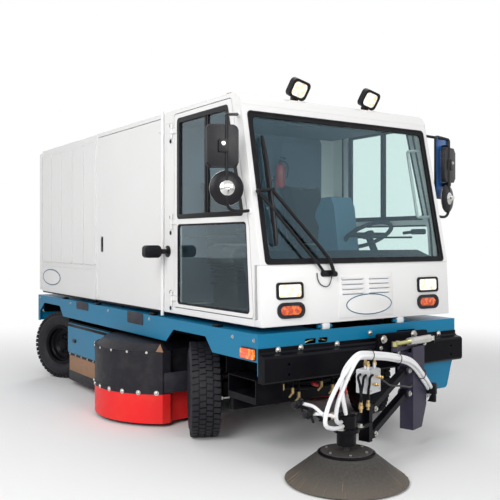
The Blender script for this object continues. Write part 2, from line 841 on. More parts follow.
    def done(self, body: str = "chassis", replaces: Sequence[str] = (), sharp: float = 35.0) -> bpy.types.Object:
        """Finish the piece and let it ride.

        Args:
            body: The body that it rides on, or nothing for a piece that is blended later.
            replaces: CAD nodes that it stands for.
            sharp: The angle in degrees above which an edge looks sharp.

        Returns:
            The piece.
        """
        bmesh.ops.recalc_face_normals(self.bm, faces=self.bm.faces)
        mesh = bpy.data.meshes.new(self.name)
        self.bm.to_mesh(mesh)
        self.bm.free()
        mesh.materials.append(self.finish.material())
        mesh.polygons.foreach_set("use_smooth", [True] * len(mesh.polygons))
        mesh.polygons.foreach_set("material_index", [0] * len(mesh.polygons))
        mesh.set_sharp_from_angle(angle=math.radians(sharp))
        piece = bpy.data.objects.new(self.name, mesh)
        bpy.context.scene.collection.objects.link(piece)
        if body:
            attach(piece, body)
        if replaces:
            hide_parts(*replaces)
        LOG.info("%s: %d faces", self.name, len(mesh.polygons))
        return piece


def hose(name: str, finish: Finish, line: Sequence[Vector], diameter: float, sides: int, body: str) -> bpy.types.Object:
    """Args:
        name: The piece's name.
        finish: Its finish.
        line: The points of its middle line.
        diameter: Its diameter.
        sides: Sides of its circle.
        body: The body that it rides on, or nothing where it is blended later.

    Returns:
        The hose.
    """
    piece = Form(name, finish).tube(line, diameter / 2, sides).done(body)
    length = sum((b - a).length for a, b in zip(line, line[1:]))
    tuple(line[0])
    [tuple(point) for point in line]
    LOG.info("%s: hose of %.2f m", name, length)
    return piece


def paint(nodes: dict[str, Finish]) -> None:
    """Give CAD nodes that stay their finishes."""
    for node, finish in nodes.items():
        materials = bpy.data.objects[node].data.materials
        materials.clear()
        materials.append(finish.material())
        LOG.info("%s: painted %s", node, finish.name)


# ---------------------------------------------------------------- grown shapes
class Recipe(Nodes):
    """A Geometry Nodes tree with named sizes that grows plain meshes."""

    def __init__(self, name: str, sizes: dict[str, object]) -> None:
        """Start a tree.

        Args:
            name: The tree's name.
            sizes: Each named input with its first value.
        """
        super().__init__(bpy.data.node_groups.new(name, "GeometryNodeTree"))
        face = self.tree.interface
        face.new_socket("Geometry", in_out="INPUT", socket_type="NodeSocketGeometry")
        face.new_socket("Geometry", in_out="OUTPUT", socket_type="NodeSocketGeometry")
        self.ids: dict[str, str] = {}
        kinds = {int: "NodeSocketInt", float: "NodeSocketFloat", tuple: "NodeSocketVector"}
        for label, default in sizes.items():
            made = face.new_socket(label, in_out="INPUT", socket_type=kinds[type(default)])
            made.default_value = default
            self.ids[label] = made.identifier
        made = face.new_socket("Finish", in_out="INPUT", socket_type="NodeSocketMaterial")
        self.ids["Finish"] = made.identifier
        self.source = self.tree.nodes.new("NodeGroupInput")
        self.sink = self.tree.nodes.new("NodeGroupOutput")

    def feed(self, socket: bpy.types.NodeSocket, value: object) -> None:
        """Set or link one input; a named size's label stands for its socket."""
        super().feed(socket, self.source.outputs[value] if isinstance(value, str) and value in self.ids else value)

    def sum(self, operation: str, first: object, second: object = 0.0) -> bpy.types.NodeSocket:
        """Join two numbers."""
        return self.output("ShaderNodeMath", {0: first, 1: second}, operation=operation)

    def vector(self, x: object = 0.0, y: object = 0.0, z: object = 0.0) -> bpy.types.NodeSocket:
        """Join three numbers into a vector."""
        return self.output("ShaderNodeCombineXYZ", {0: x, 1: y, 2: z})

    def join(self, *parts: bpy.types.NodeSocket) -> bpy.types.NodeSocket:
        """Join geometries."""
        made = self.tree.nodes.new("GeometryNodeJoinGeometry")
        for part in reversed(parts):
            self.tree.links.new(part, made.inputs[0])
        return made.outputs[0]

    def moved(self, geometry: bpy.types.NodeSocket, shift: object = (0.0, 0.0, 0.0), turn: object = (0.0, 0.0, 0.0),
            scale: object = (1.0, 1.0, 1.0)) -> bpy.types.NodeSocket:
        """Move, turn and scale a geometry."""
        return self.output("GeometryNodeTransform", {"Geometry": geometry, "Translation": shift, "Rotation": turn,
            "Scale": scale})

    def scatter(self, points: bpy.types.NodeSocket, piece: bpy.types.NodeSocket,
            inputs: dict[int | str, object]) -> bpy.types.NodeSocket:
        """Put a piece on each point."""
        return self.output("GeometryNodeInstanceOnPoints", {"Points": points, "Instance": piece, **inputs})

    def close(self, geometry: bpy.types.NodeSocket) -> None:
        """End the tree in real geometry with its finish."""
        real = self.output("GeometryNodeRealizeInstances", {0: geometry})
        dressed = self.node("GeometryNodeSetMaterial", {"Geometry": real, "Material": "Finish"})
        self.tree.links.new(dressed.outputs[0], self.sink.inputs[0])

    def grow(self, finish: Finish, sizes: dict[str, object], points: Sequence[Vector] = (),
            facing: Sequence[Vector] = ()) -> bpy.types.Mesh:
        """Grow a plain mesh.

        Args:
            finish: The mesh's finish.
            sizes: Values for the named sizes.
            points: Points that the tree works on.
            facing: The way out of the surface at each point.

        Returns:
            The mesh.
        """
        seed = bpy.data.meshes.new("seed")
        seed.from_pydata([tuple(point) for point in points], [], [])
        if facing:
            kept = seed.attributes.new("facing", "FLOAT_VECTOR", "POINT")
            kept.data.foreach_set("vector", [part for way in facing for part in way])
        carrier = bpy.data.objects.new("seed", seed)
        bpy.context.scene.collection.objects.link(carrier)
        modifier = carrier.modifiers.new("grow", "NODES")
        modifier.node_group = self.tree
        for label, value in {**sizes, "Finish": finish.material()}.items():
            modifier[self.ids[label]] = value
        graph = bpy.context.evaluated_depsgraph_get()
        mesh = bpy.data.meshes.new_from_object(carrier.evaluated_get(graph), depsgraph=graph)
        bpy.data.objects.remove(carrier)
        bpy.data.meshes.remove(seed)
        return mesh


class Head(Enum):
    """The kinds of screw head used on the machine; each value is its height as a share of its radius."""

    HEX = 0.8
    DOME = 0.55


def fastener_recipe(head: Head) -> Recipe:
    """Build the tree that sets a washer and a head on each point, along its facing attribute."""
    recipe = Recipe(f"{head.name.lower()}_fasteners", {"Head radius": 0.01, "Head height": 0.007,
        "Washer radius": 0.016, "Washer height": 0.002})
    washer_lift = recipe.sum("MULTIPLY", "Washer height", 0.5)
    washer = recipe.output("GeometryNodeMeshCylinder", {"Vertices": 18, "Radius": "Washer radius",
        "Depth": "Washer height"})
    washer = recipe.moved(washer, recipe.vector(0.0, 0.0, washer_lift))
    if head is Head.HEX:
        lift = recipe.sum("ADD", "Washer height", recipe.sum("MULTIPLY", "Head height", 0.5))
        top = recipe.output("GeometryNodeMeshCylinder", {"Vertices": 6, "Radius": "Head radius",
            "Depth": "Head height"})
        top = recipe.moved(top, recipe.vector(0.0, 0.0, lift))
    else:
        top = recipe.output("GeometryNodeMeshUVSphere", {"Segments": 14, "Rings": 8, "Radius": 1.0})
        top = recipe.moved(top, recipe.vector(0.0, 0.0, "Washer height"), (0.0, 0.0, 0.0),
            recipe.vector("Head radius", "Head radius", "Head height"))
    facing = recipe.node("GeometryNodeInputNamedAttribute", {"Name": "facing"}, data_type="FLOAT_VECTOR")
    turn = recipe.output("FunctionNodeAlignRotationToVector", {"Vector": facing.outputs[0]}, axis="Z")
    recipe.close(recipe.scatter(recipe.source.outputs["Geometry"], recipe.join(washer, top), {"Rotation": turn}))
    return recipe


def tread_recipe() -> Recipe:
    """Build the tree that sets rows of slanted lugs round a wheel whose axis is local z."""
    recipe = Recipe("tread_lugs", {"Lugs": 44, "Radius": 0.345, "Lug depth": 0.016, "Lug length": 0.034,
        "Middle width": 0.045, "Shoulder width": 0.052, "Row pitch": 0.052, "Slant": 0.3})
    rows = []
    for place, width, phase in ((-1.62, "Shoulder width", 0.0), (-0.5, "Middle width", 0.5), (0.5, "Middle width", 0.0),
            (1.62, "Shoulder width", 0.5)):
        loop = recipe.output("GeometryNodeMeshCircle", {"Vertices": "Lugs", "Radius": "Radius"})
        shift = recipe.vector(0.0, 0.0, recipe.sum("MULTIPLY", "Row pitch", place))
        step = recipe.sum("DIVIDE", 2 * math.pi * phase, "Lugs")
        loop = recipe.moved(loop, shift, recipe.vector(0.0, 0.0, step))
        block = recipe.output("GeometryNodeMeshCube", {"Size": recipe.vector("Lug depth", "Lug length", width)})
        slant = recipe.sum("MULTIPLY", "Slant", 1.0 if place > 0 else -1.0)
        block = recipe.moved(block, (0.0, 0.0, 0.0), recipe.vector(slant, 0.0, 0.0))
        here = recipe.output("GeometryNodeInputPosition")
        outward = recipe.node("ShaderNodeVectorMath", {0: here, 1: (1.0, 1.0, 0.0)}, operation="MULTIPLY")
        turn = recipe.output("FunctionNodeAlignRotationToVector", {"Vector": outward.outputs[0]}, axis="X",
            pivot_axis="Z")
        rows.append(recipe.scatter(loop, block, {"Rotation": turn}))
    recipe.close(recipe.join(*rows))
    return recipe


def bristle_recipe() -> Recipe:
    """Build the tree that sets leaning bristles on a ring about local z, pointing down and outwards."""
    recipe = Recipe("bristle_ring", {"Strands": 400, "Root radius": 0.1, "Lean out": 0.2, "Drop": 0.15,
        "Thickness": 0.002, "Ruffle": 0.012, "Seed": 1})
    loop = recipe.output("GeometryNodeMeshCircle", {"Vertices": "Strands", "Radius": "Root radius"})
    here = recipe.output("GeometryNodeInputPosition")
    outward = recipe.output("ShaderNodeVectorMath", {0: here}, operation="NORMALIZE")
    lean = recipe.node("ShaderNodeVectorMath", {0: outward, "Scale": "Lean out"}, operation="SCALE")
    down = recipe.vector(0.0, 0.0, recipe.sum("MULTIPLY", "Drop", -1.0))
    way = recipe.output("ShaderNodeVectorMath", {0: lean.outputs[0], 1: down}, operation="ADD")
    low = recipe.sum("MULTIPLY", "Ruffle", -1.0)
    stray = recipe.output("FunctionNodeRandomValue", {0: recipe.vector(low, low, 0.0),
        1: recipe.vector("Ruffle", "Ruffle", 0.0), "Seed": "Seed"}, data_type="FLOAT_VECTOR")
    way = recipe.output("ShaderNodeVectorMath", {0: way, 1: stray}, operation="ADD")
    length = recipe.node("ShaderNodeVectorMath", {0: way}, operation="LENGTH").outputs["Value"]
    turn = recipe.output("FunctionNodeAlignRotationToVector", {"Vector": way}, axis="Z")
    strand = recipe.output("GeometryNodeMeshCone", {"Vertices": 3, "Radius Top": 0.5, "Radius Bottom": 1.0,
        "Depth": 1.0})
    recipe.close(recipe.scatter(loop, strand, {"Rotation": turn, "Scale": recipe.vector("Thickness", "Thickness",
        length)}))
    return recipe


def slat_recipe() -> Recipe:
    """Build the tree that sets a row of tapered slats at a step from one another."""
    recipe = Recipe("slat_row", {"Count": 4, "Start": (0.0, 0.0, 0.0), "Step": (0.0, 0.0, 0.03),
        "Slat": (0.2, 0.01, 0.01)})
    line = recipe.output("GeometryNodeMeshLine", {"Count": "Count", "Start Location": "Start", "Offset": "Step"})
    slat = recipe.output("GeometryNodeMeshCylinder", {"Vertices": 14, "Radius": 0.5, "Depth": 1.0})
    slat = recipe.moved(slat, (0.0, 0.0, 0.0), (0.0, math.pi / 2, 0.0))
    recipe.close(recipe.scatter(line, slat, {"Scale": "Slat"}))
    return recipe


@dataclass
class Toolbox:
    """The trees that every sub-assembly grows its small pieces with."""

    heads: dict[Head, Recipe] = field(default_factory=lambda: {head: fastener_recipe(head) for head in Head})
    tread: Recipe = field(default_factory=tread_recipe)
    bristle: Recipe = field(default_factory=bristle_recipe)
    slats: Recipe = field(default_factory=slat_recipe)
    washer: Pair = (1.5, 0.22)

    def fasteners(self, name: str, radius: float, points: Sequence[tuple[Vector, Vector]], head: Head = Head.HEX,
            finish: Finish = ZINC, body: str = "chassis") -> bpy.types.Object:
        """Set a group of screw heads on washers.

        Args:
            name: The piece's name.
            radius: The head's radius.
            points: Each place with the way out of its surface.
            head: The kind of head.
            finish: Its finish.
            body: The body that it rides on.

        Returns:
            The piece.
        """
        width, height = self.washer
        sizes = {"Head radius": radius, "Head height": radius * head.value, "Washer radius": radius * width,
            "Washer height": radius * height}
        mesh = self.heads[head].grow(finish, sizes, [point for point, _ in points], [way for _, way in points])
        return Form(name, finish).take(mesh).done(body)


# ---------------------------------------------------------------- camera, light and floor
@dataclass
class Studio:
    """The camera, a pale floor and soft lamps."""

    eye: Triple = (-3.6263, -5.6989, 1.4681)
    way: Triple = (0.5595, 0.8288, 0.0)
    focal_mm: float = 53.09
    lift: float = -0.0174
    aim_z: float = 0.9
    sky: Pair = (0.42, 1.0)
    fade: Pair = (3.2, 7.5)
    floor_radius: float = 60.0
    lamps: tuple[tuple[Triple, float, float], ...] = (
        ((-7.0, -4.5, 5.0), 4.5, 440.0),
        ((-1.0, -10.0, 4.0), 3.5, 280.0),
        ((0.5, 1.0, 7.5), 6.0, 115.0),
        ((3.5, 8.5, 5.0), 4.0, 200.0),
    )

    def camera(self) -> None:
        """Set the camera at its place, level."""
        data = bpy.data.cameras.new("camera")
        data.lens = self.focal_mm
        data.sensor_width = 36.0
        data.shift_y = self.lift
        data.clip_end = 200.0
        holder = bpy.data.objects.new("camera", data)
        holder.location = self.eye
        holder.rotation_euler = Vector(self.way).to_track_quat("-Z", "Y").to_euler()
        bpy.context.scene.collection.objects.link(holder)
        bpy.context.scene.camera = holder

    def light(self) -> None:
        """Set the lamps, the world and the view's settings."""
        for index, (place, size, power) in enumerate(self.lamps):
            data = bpy.data.lights.new(f"lamp_{index}", "AREA")
            data.size = size
            data.energy = power
            lamp = bpy.data.objects.new(f"lamp_{index}", data)
            lamp.location = place
            lamp.rotation_euler = (UP * self.aim_z - Vector(place)).to_track_quat("-Z", "Y").to_euler()
            bpy.context.scene.collection.objects.link(lamp)
        world = bpy.data.worlds.new("studio")
        world.use_nodes = True
        sky = Nodes(world.node_tree)
        rays = sky.node("ShaderNodeLightPath").outputs
        through = sky.output("ShaderNodeMath", {0: rays["Is Glossy Ray"], 1: rays["Is Transmission Ray"]},
            operation="MAXIMUM")
        seen = sky.output("ShaderNodeMath", {0: rays["Is Camera Ray"], 1: through}, operation="MAXIMUM")
        lit, shown = (sky.output("ShaderNodeBackground", {"Color": (1.0, 1.0, 1.0), "Strength": strength})
            for strength in self.sky)
        mix = sky.output("ShaderNodeMixShader", {0: seen, 1: lit, 2: shown})
        sky.node("ShaderNodeOutputWorld", {"Surface": mix})
        bpy.context.scene.world = world
        bpy.context.scene.view_settings.view_transform = "Standard"

    def floor(self) -> None:
        """Lay the floor: pale near the machine, white to the eye far from it."""
        shade = Shade("studio_floor")
        shade.set(Base_Color=(0.86, 0.86, 0.86), Roughness=0.9)
        far = (shade.axis(0) ** 2.0 + shade.axis(1) ** 2.0) ** 0.5
        rays = shade.node("ShaderNodeLightPath").outputs
        glow = shade.output("ShaderNodeEmission", {"Color": (1.0, 1.0, 1.0), "Strength": 1.0})
        share = far.span(*self.fade) * Signal(shade, rays["Is Camera Ray"])
        mix = shade.output("ShaderNodeMixShader", {0: share, 1: shade.surface.outputs[0], 2: glow})
        shade.feed(shade.out.inputs["Surface"], mix)
        bm = bmesh.new()
        bmesh.ops.create_circle(bm, cap_ends=True, segments=64, radius=self.floor_radius)
        mesh = bpy.data.meshes.new("floor")
        bm.to_mesh(mesh)
        bm.free()
        mesh.materials.append(shade.material)
        plane = bpy.data.objects.new("floor", mesh)
        bpy.context.scene.collection.objects.link(plane)

    def build(self) -> None:
        """Make the whole studio."""
        self.camera()
        self.light()
        self.floor()


# ---------------------------------------------------------------- front arm and its hoses
@dataclass
class FrontArm:
    """The swinging arm of the front brush with its hoses, fittings and nozzles."""

    tools: Toolbox
    pin: Pair = (0.29, -1.99)
    way: Pair = (-0.952362, -0.30497)
    hose: float = 0.026
    thin_hose: float = 0.013
    white_lines: tuple[tuple[float, float, tuple[Triple, ...]], ...] = (
        (0.068, 0.0, ((1.045, 0.08, 0.715), (1.15, 0.08, 0.645), (1.245, 0.08, 0.56), (1.3, 0.08, 0.48),
                      (1.29, 0.07, 0.41), (1.19, 0.06, 0.375), (1.08, 0.035, 0.355), (0.998, 0.01, 0.345))),
        (0.092, 0.012, ((1.02, 0.085, 0.7), (1.1, 0.085, 0.62), (1.165, 0.08, 0.53), (1.18, 0.07, 0.44),
                        (1.11, 0.05, 0.385), (0.998, 0.0, 0.37))),
        (0.08, 0.03, ((1.01, 0.03, 0.7), (1.03, 0.02, 0.62), (1.01, 0.02, 0.52), (0.985, 0.02, 0.45),
                      (0.975, 0.02, 0.415))),
    )

    def at(self, along: float, out: float, z: float) -> Vector:
        """Return a point from its distance along the arm, out to the front and its height."""
        return Vector((self.pin[0] + self.way[0] * along - self.way[1] * out,
            self.pin[1] + self.way[1] * along + self.way[0] * out, z))

    def turn(self) -> Matrix:
        """Return the arm's rotation about the upright."""
        return Matrix.Rotation(math.atan2(self.way[1], self.way[0]), 4, "Z")

    def arm_hose(self, name: str, finish: Finish, points: Sequence[Triple], diameter: float,
            stretch: Pair) -> None:
        """Make one hose that bends from one body to the next.

        Args:
            name: The piece's name.
            finish: Its finish.
            points: Control points along the arm, out to the front and up.
            diameter: Its diameter.
            stretch: Along the arm, where it leaves the first body and reaches the second.
        """
        piece = hose(name, finish, bend(points, self.at), diameter, 14, "")
        tuple(self.at(stretch[0], 0.05, 0.5))
        tuple(self.at(stretch[1], 0.05, 0.5))
        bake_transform(piece)

    def hoses(self) -> None:
        """Lay the white water hoses over the arm and the thin hydraulic hose below them.

        Each white line has its distance out over the link, its rise over the first, and its way down the head.
        """
        for index, (side, rise, way_down) in enumerate(self.white_lines):
            mid = (0.405, side, 0.676 + rise)
            self.arm_hose(f"white_hose_{index}_mast", WHITE_HOSE, [(-0.096, side - 0.075, 0.292 + rise),
                (-0.15, side - 0.07, 0.3 + rise), (-0.165, side - 0.02, 0.365 + rise), (-0.06, side, 0.44 + rise),
                (0.05, side, 0.525 + rise), (0.15, side, 0.6 + rise), (0.275, side, 0.652 + rise), mid], self.hose,
                (0.1, 0.3))
            self.arm_hose(f"white_hose_{index}_head", WHITE_HOSE, [mid, (0.535, side, 0.704 + rise),
                (0.69, side, 0.728 + rise), (0.84, side, 0.75 + rise), (0.945, side, 0.758 + rise), *way_down],
                self.hose, (0.5, 0.66))
        mid = (0.4, 0.06, 0.505)
        self.arm_hose("thin_hose_mast", BLACK_HOSE, [(0.119, 0.045, 0.47), (0.165, 0.06, 0.462), (0.22, 0.066, 0.47),
            (0.31, 0.062, 0.492), mid], self.thin_hose, (0.16, 0.34))
        self.arm_hose("thin_hose_head", BLACK_HOSE, [mid, (0.48, 0.06, 0.518), (0.54, 0.062, 0.548),
            (0.585, 0.045, 0.58), (0.602, 0.03, 0.585)], self.thin_hose, (0.46, 0.58))

    def ties(self) -> None:
        """Wrap the cable ties round the hose bundle."""
        for name, body, along, z in (("tie_mast", "arm_mast", 0.045, 0.536), ("tie_link", "lower_link", 0.405, 0.69),
                ("tie_head", "arm_head", 0.78, 0.758)):
            form = Form(name, PLASTIC)
            middle = self.at(along, 0.08, z)
            way = Vector((self.way[0], self.way[1], 0.25 if along < 0.5 else 0.1)).normalized()
            where = stand(middle, way.cross(UP), (0, 0, 1))
            loop = [where @ Vector((0.029 * math.cos(a * math.pi / 12), 0.033 * math.sin(a * math.pi / 12), 0.0))
                for a in range(24)]
            form.tube(loop, 0.0026, 6, closed=True).done(body)
        clamps = Form("hose_clamps", PLASTIC)
        for along, out, z in ((-0.112, 0.072, 0.412), (-0.16, 0.046, 0.345)):
            clamps.block(self.at(along, out, z), (0.028, 0.1, 0.082), self.turn(), 0.008)
        clamps.done("arm_mast")

    def fitting(self, form: Form, start: Vector, way: Vector, radius: float, length: float) -> None:
        """Add a hose fitting: a hexagon nut between two collars."""
        where = heading(start, way)
        form.lathe([(radius * 0.8, 0.0), (radius * 0.8, length * 0.3)], where, 14)
        form.lathe([(radius * 1.05, length * 0.3), (radius * 1.25, length * 0.34), (radius * 1.25, length * 0.64),
            (radius * 1.05, length * 0.68)], where, 6)
        form.lathe([(radius * 0.72, length * 0.68), (radius * 0.9, length * 0.74), (radius * 0.9, length * 0.96),
            (radius * 0.7, length)], where, 14)

    def valve_pipes(self) -> None:
        """Set brass fittings on the valve block and lead pipes down to the motor."""
        brass = Form("valve_fittings", BRASS)
        for along, out in ((0.615, 0.02), (0.661, -0.022), (0.703, 0.02)):
            self.fitting(brass, self.at(along, out, 0.652), UP, 0.011, 0.052)
        for along, z in ((0.64, 0.6), (0.69, 0.56)):
            self.fitting(brass, self.at(along, 0.05, z), self.at(along, 1.0, z) - self.at(along, 0.0, z), 0.01, 0.045)
        for along, out in ((0.745, 0.045), (0.79, 0.02), (0.835, 0.045)):
            self.fitting(brass, self.at(along, out, 0.405), UP, 0.011, 0.062)
        self.fitting(brass, self.at(1.185, 0.0, 0.425), UP, 0.01, 0.04)
        self.fitting(brass, self.at(1.15, 0.03, 0.42), UP, 0.01, 0.04)
        brass.done("arm_head")
        pipes = Form("motor_pipes", BLACK)
        for (along, out, low), (high_along, high_out) in (((0.745, 0.045, 0.46), (0.725, 0.056)),
                ((0.79, 0.02, 0.46), (0.74, 0.02)), ((0.835, 0.045, 0.46), (0.748, -0.02))):
            pipes.tube(bend([(along, out, low), (along, out, low + 0.06),
                ((along + high_along) / 2, (out + high_out) / 2, 0.57), (high_along + 0.02, high_out, 0.615),
                (high_along - 0.02, high_out, 0.62)], self.at), 0.0085, 10)
        pipes.done("arm_head")

    def spray_bar(self) -> None:
        """Build the bar and the two black spray nozzles at the brush's side."""
        bar = Form("spray_bar", BLACK)
        bar.block(self.at(1.075, 0.0, 0.418), (0.29, 0.036, 0.01), self.turn(), 0.002)
        bar.block(self.at(0.955, 0.0, 0.405), (0.06, 0.05, 0.02), self.turn(), 0.002)
        bar.rod(self.at(1.2, 0.0, 0.42), self.at(1.2, -0.1, 0.47), 0.008)
        bar.rod(self.at(1.2, -0.1, 0.47), self.at(1.26, -0.16, 0.5), 0.009)
        bar.done("arm_head")
        nozzles = Form("spray_nozzles", PLASTIC)
        for along, out, z in ((1.235, -0.14, 0.5), (1.255, -0.05, 0.455)):
            body = self.at(along, out, z)
            self.fitting(nozzles, body, Vector((-1.0, -0.1, 0.05)), 0.02, 0.055)
            self.fitting(nozzles, body, Vector((0.1, -0.2, 1.0)), 0.016, 0.035)
            nozzles.rod(body, body + Vector((0.02, 0, -0.05)), 0.009)
        nozzles.done("arm_head")
        pipes = Form("spray_pipes", WHITE_HOSE)
        for line in (((1.215, -0.13, 0.5), (1.245, -0.05, 0.508), (1.275, 0.01, 0.498), (1.296, 0.062, 0.476)),
                ((1.235, -0.05, 0.455), (1.225, 0.0, 0.462), (1.205, 0.04, 0.458), (1.183, 0.068, 0.446))):
            pipes.tube(bend(line, self.at), 0.0105, 12)
        pipes.done("arm_head")

    def pins(self) -> None:
        """Cap the arm's pins with big washers and bolts."""
        out = self.at(0, 1, 0) - self.at(0, 0, 0)
        for part, along, heights in (("mast", 0.15, (0.41, 0.57)), ("head", 0.6386, (0.392, 0.232))):
            self.tools.fasteners(f"{part}_pin_caps", 0.012, [(self.at(along, 0.04, z), out) for z in heights],
                body=f"arm_{part}")
        self.tools.fasteners("head_plate_bolt", 0.018, [(self.at(0.86, 0.05, 0.322), UP),
            (self.at(1.0, 0.0, 0.322), UP)], body="arm_head")
        self.tools.fasteners("valve_screws", 0.006, [(self.at(0.661 + along, 0.05, z), out) for along in (-0.055, 0.055)
            for z in (0.52, 0.63)], body="arm_head")
        self.tools.fasteners("carriage_bolts", 0.019, [(spot(x, -0.1, z), FORWARD)
            for x, z in ((0.075, 0.775), (0.375, 0.79))])
        self.tools.fasteners("carriage_small_bolts", 0.01, [(spot(x, -0.1, z), FORWARD)
            for x, z in ((0.05, 0.715), (0.49, 0.715), (0.22, 0.6), (0.36, 0.6))])

    def rings(self) -> None:
        """Set the two spare eyes on the carriage plate."""
        form = Form("carriage_eyes", ZINC)
        for x, z in ((0.15, 0.735), (0.176, 0.668)):
            where = front_face(x, -0.15, z)
            form.lathe([(0.017, 0.0), (0.03, 0.0), (0.032, 0.004), (0.032, 0.024), (0.03, 0.028), (0.017, 0.028)],
                where, 28, closed=True)
        form.done()

    def build(self) -> None:
        """Build the arm's hoses first, then its small pieces."""
        self.hoses()
        self.ties()
        self.valve_pipes()
        self.spray_bar()
        self.pins()
        self.rings()
        paint({"arm_mount": BLACK, "arm_mast": TOWER, "lower_link": BLACK, "upper_link": BLACK, "arm_head": BLACK,
            "valve_block": CAST_GREY, "swing_cylinder": ZINC, "swing_rod": YELLOW_ROD})


# ---------------------------------------------------------------- cab
@dataclass
class Cab:
    """The cab's outside: seals, wipers, grille, lamps in the nose, doors and their hinges."""

    tools: Toolbox
    foot: Triple = (0.0, -1.766, 1.32)
    slope: Pair = (0.2066, 0.9784)
    screen_outline: tuple[Pair, ...] = ((-0.822, 0.022), (0.822, 0.022), (0.822, 1.03), (-0.822, 1.03))
    upper_window: tuple[Pair, ...] = ((0.228, 1.64), (1.166, 1.64), (1.166, 2.42), (0.436, 2.42))
    lower_window: tuple[Pair, ...] = ((0.16, 0.983), (1.166, 0.983), (1.166, 1.6), (0.206, 1.6))
    grille: tuple[float, float, float, float] = (0.023, 1.085, 0.52, 0.31)
    hinge_back: float = 1.262
    hinge_rows: tuple[float, ...] = (2.316, 1.596, 1.006)
    nose_foot: Pair = (0.017, 0.906)
    nose_lean: float = 0.0531
    roof_radius: float = 0.086

    def screen(self) -> Matrix:
        """Return the windshield's frame: local x to the left, y up the glass, z outwards."""
        return stand(Vector(self.foot), (1, 0, 0), (0, *self.slope))

    def nose(self, x: float, z: float, lift: float = 0.0) -> Matrix:
        """Return a frame on the nose: local x to the left, y up, z forwards."""
        back, foot = self.nose_foot
        where = stand(spot(x, back + self.nose_lean * (z - foot), z), (1, 0, 0), (0, self.nose_lean, 1))
        return where @ offset(0.0, 0.0, lift)

    def nose_panel(self) -> None:
        """Press the nose panel, square at its foot as the cab's outline is."""
        form = Form("nose_panel", WHITE)
        profile = [self.nose_foot, (0.105, 0.906), (0.105, 0.951), (0.064, 0.951), (0.083, 1.31), (0.0385, 1.31)]
        where = stand(spot(-BODY_HALF, 0.0, 0.0), (0, 1, 0), (0, 0, 1))
        form.prism(profile, 2 * BODY_HALF, where)
        sharp = [edge for edge in form.bm.edges if len(edge.link_faces) == 2]
        bmesh.ops.bevel(form.bm, geom=sharp, offset=0.004, segments=2, profile=0.5, affect="EDGES", clamp_overlap=True)
        form.done(replaces=["cab_front_panel"])

    def roof_panel(self) -> None:
        """Round the roof's front edge on a copy of its solid."""
        form = Form("roof_panel", WHITE)
        form.bm.from_mesh(bpy.data.objects["cab_roof"].data)
        bmesh.ops.remove_doubles(form.bm, verts=form.bm.verts, dist=0.00005)
        bmesh.ops.dissolve_limit(form.bm, angle_limit=math.radians(1.0), verts=form.bm.verts, edges=form.bm.edges)
        top = max(vertex.co.z for vertex in form.bm.verts)
        front = min(vertex.co.y for vertex in form.bm.verts if vertex.co.z > top - 0.001)
        corner = {vertex for vertex in form.bm.verts if abs(vertex.co.z - top) < 0.001 and abs(vertex.co.y - front) <
            0.002}
        edges = [edge for edge in form.bm.edges if corner.issuperset(edge.verts)]
        bmesh.ops.bevel(form.bm, geom=edges, offset=self.roof_radius, segments=12, profile=0.5, affect="EDGES",
            clamp_overlap=True)
        LOG.info("roof panel: %d front edges rounded", len(edges))
        form.done(replaces=["cab_roof"], sharp=28.0)

    def seals(self) -> None:
        """Fit the rubber round the windshield."""
        form = Form("windshield_seal", SEAL)
        where = self.screen() @ offset(0.0, 0.0, -0.0135)
        for (outer, outer_radius), (inner, inner_radius), depth in (((0.024, 0.024), (-0.01, 0.03), 0.0165),
                ((0.029, 0.029), (0.016, 0.016), 0.0205)):
            form.ring(rounded(grown(self.screen_outline, outer), outer_radius, 8),
                rounded(grown(self.screen_outline, inner), inner_radius, 8), depth, where)
        form.done()

    def doors(self, side: Side) -> None:
        """Dress one door: window frames, mullion, sliding pane, seal, hinge bolts and inner handle."""
        body = f"cab_door_{side.tag}"
        frame = Form(f"door_window_frame_{side.tag}", PLASTIC)
        outline = side.turned(self.upper_window)
        where = side.plane(0.866)
        frame.ring(rounded(outline, 0.03), rounded(grown(outline, -0.036), 0.012), 0.029, where)
        for back, half in ((0.744, 0.012), (0.712, 0.008)):
            frame.block(side.plane(0.88) @ Vector((side.value * back, 2.03, 0.0)), (0.022, 2 * half, 0.75), edge=0.002)
        frame.block(side.plane(0.888) @ Vector((side.value * 0.7, 1.662, 0.0)), (0.014, 0.9, 0.03), edge=0.002)
        frame.done(body)
        seal = Form(f"door_glass_seal_{side.tag}", SEAL)
        lower = side.turned(self.lower_window)
        seal.ring(rounded(grown(lower, 0.003), 0.032), rounded(grown(lower, -0.013), 0.018), 0.018, side.plane(0.872))
        seal.done(body)
        gap = Form(f"door_edge_seal_{side.tag}", SEAL)
        door = side.turned(((0.118, 0.958), (1.215, 0.958), (1.215, 2.455), (0.392, 2.455), (0.17, 1.57)))
        gap.ring(rounded(grown(door, 0.01), 0.03), rounded(grown(door, -0.006), 0.018), 0.006, side.plane(0.842))
        gap.done()
        plates = Form(f"door_hinge_plates_{side.tag}", LINK_WHITE)
        for z in self.hinge_rows:
            plates.block(side.spot(0.895, self.hinge_back, z), (0.008, 0.046, 0.15))
        plates.done()
        bolts = [(side.spot(0.8985, self.hinge_back, z + step), side.out()) for z in self.hinge_rows
            for step in (-0.062, 0.062)]
        self.tools.fasteners(f"door_hinge_bolts_{side.tag}", 0.011, bolts, head=Head.DOME, finish=PLASTIC)
        handle = Form(f"door_inner_handle_{side.tag}", PLASTIC)
        handle.block(side.spot(0.838, 0.29, 1.545), (0.03, 0.15, 0.045), edge=0.012)
        handle.rod(side.spot(0.836, 0.33, 1.545), side.spot(0.822, 0.44, 1.535), 0.013)
        handle.rod(side.spot(0.838, 0.36, 1.5), side.spot(0.838, 1.12, 1.5), 0.008)
        handle.done(body)
        paint({f"cab_door_{side.tag}": WHITE, f"door_glass_{side.tag}": GLASS})

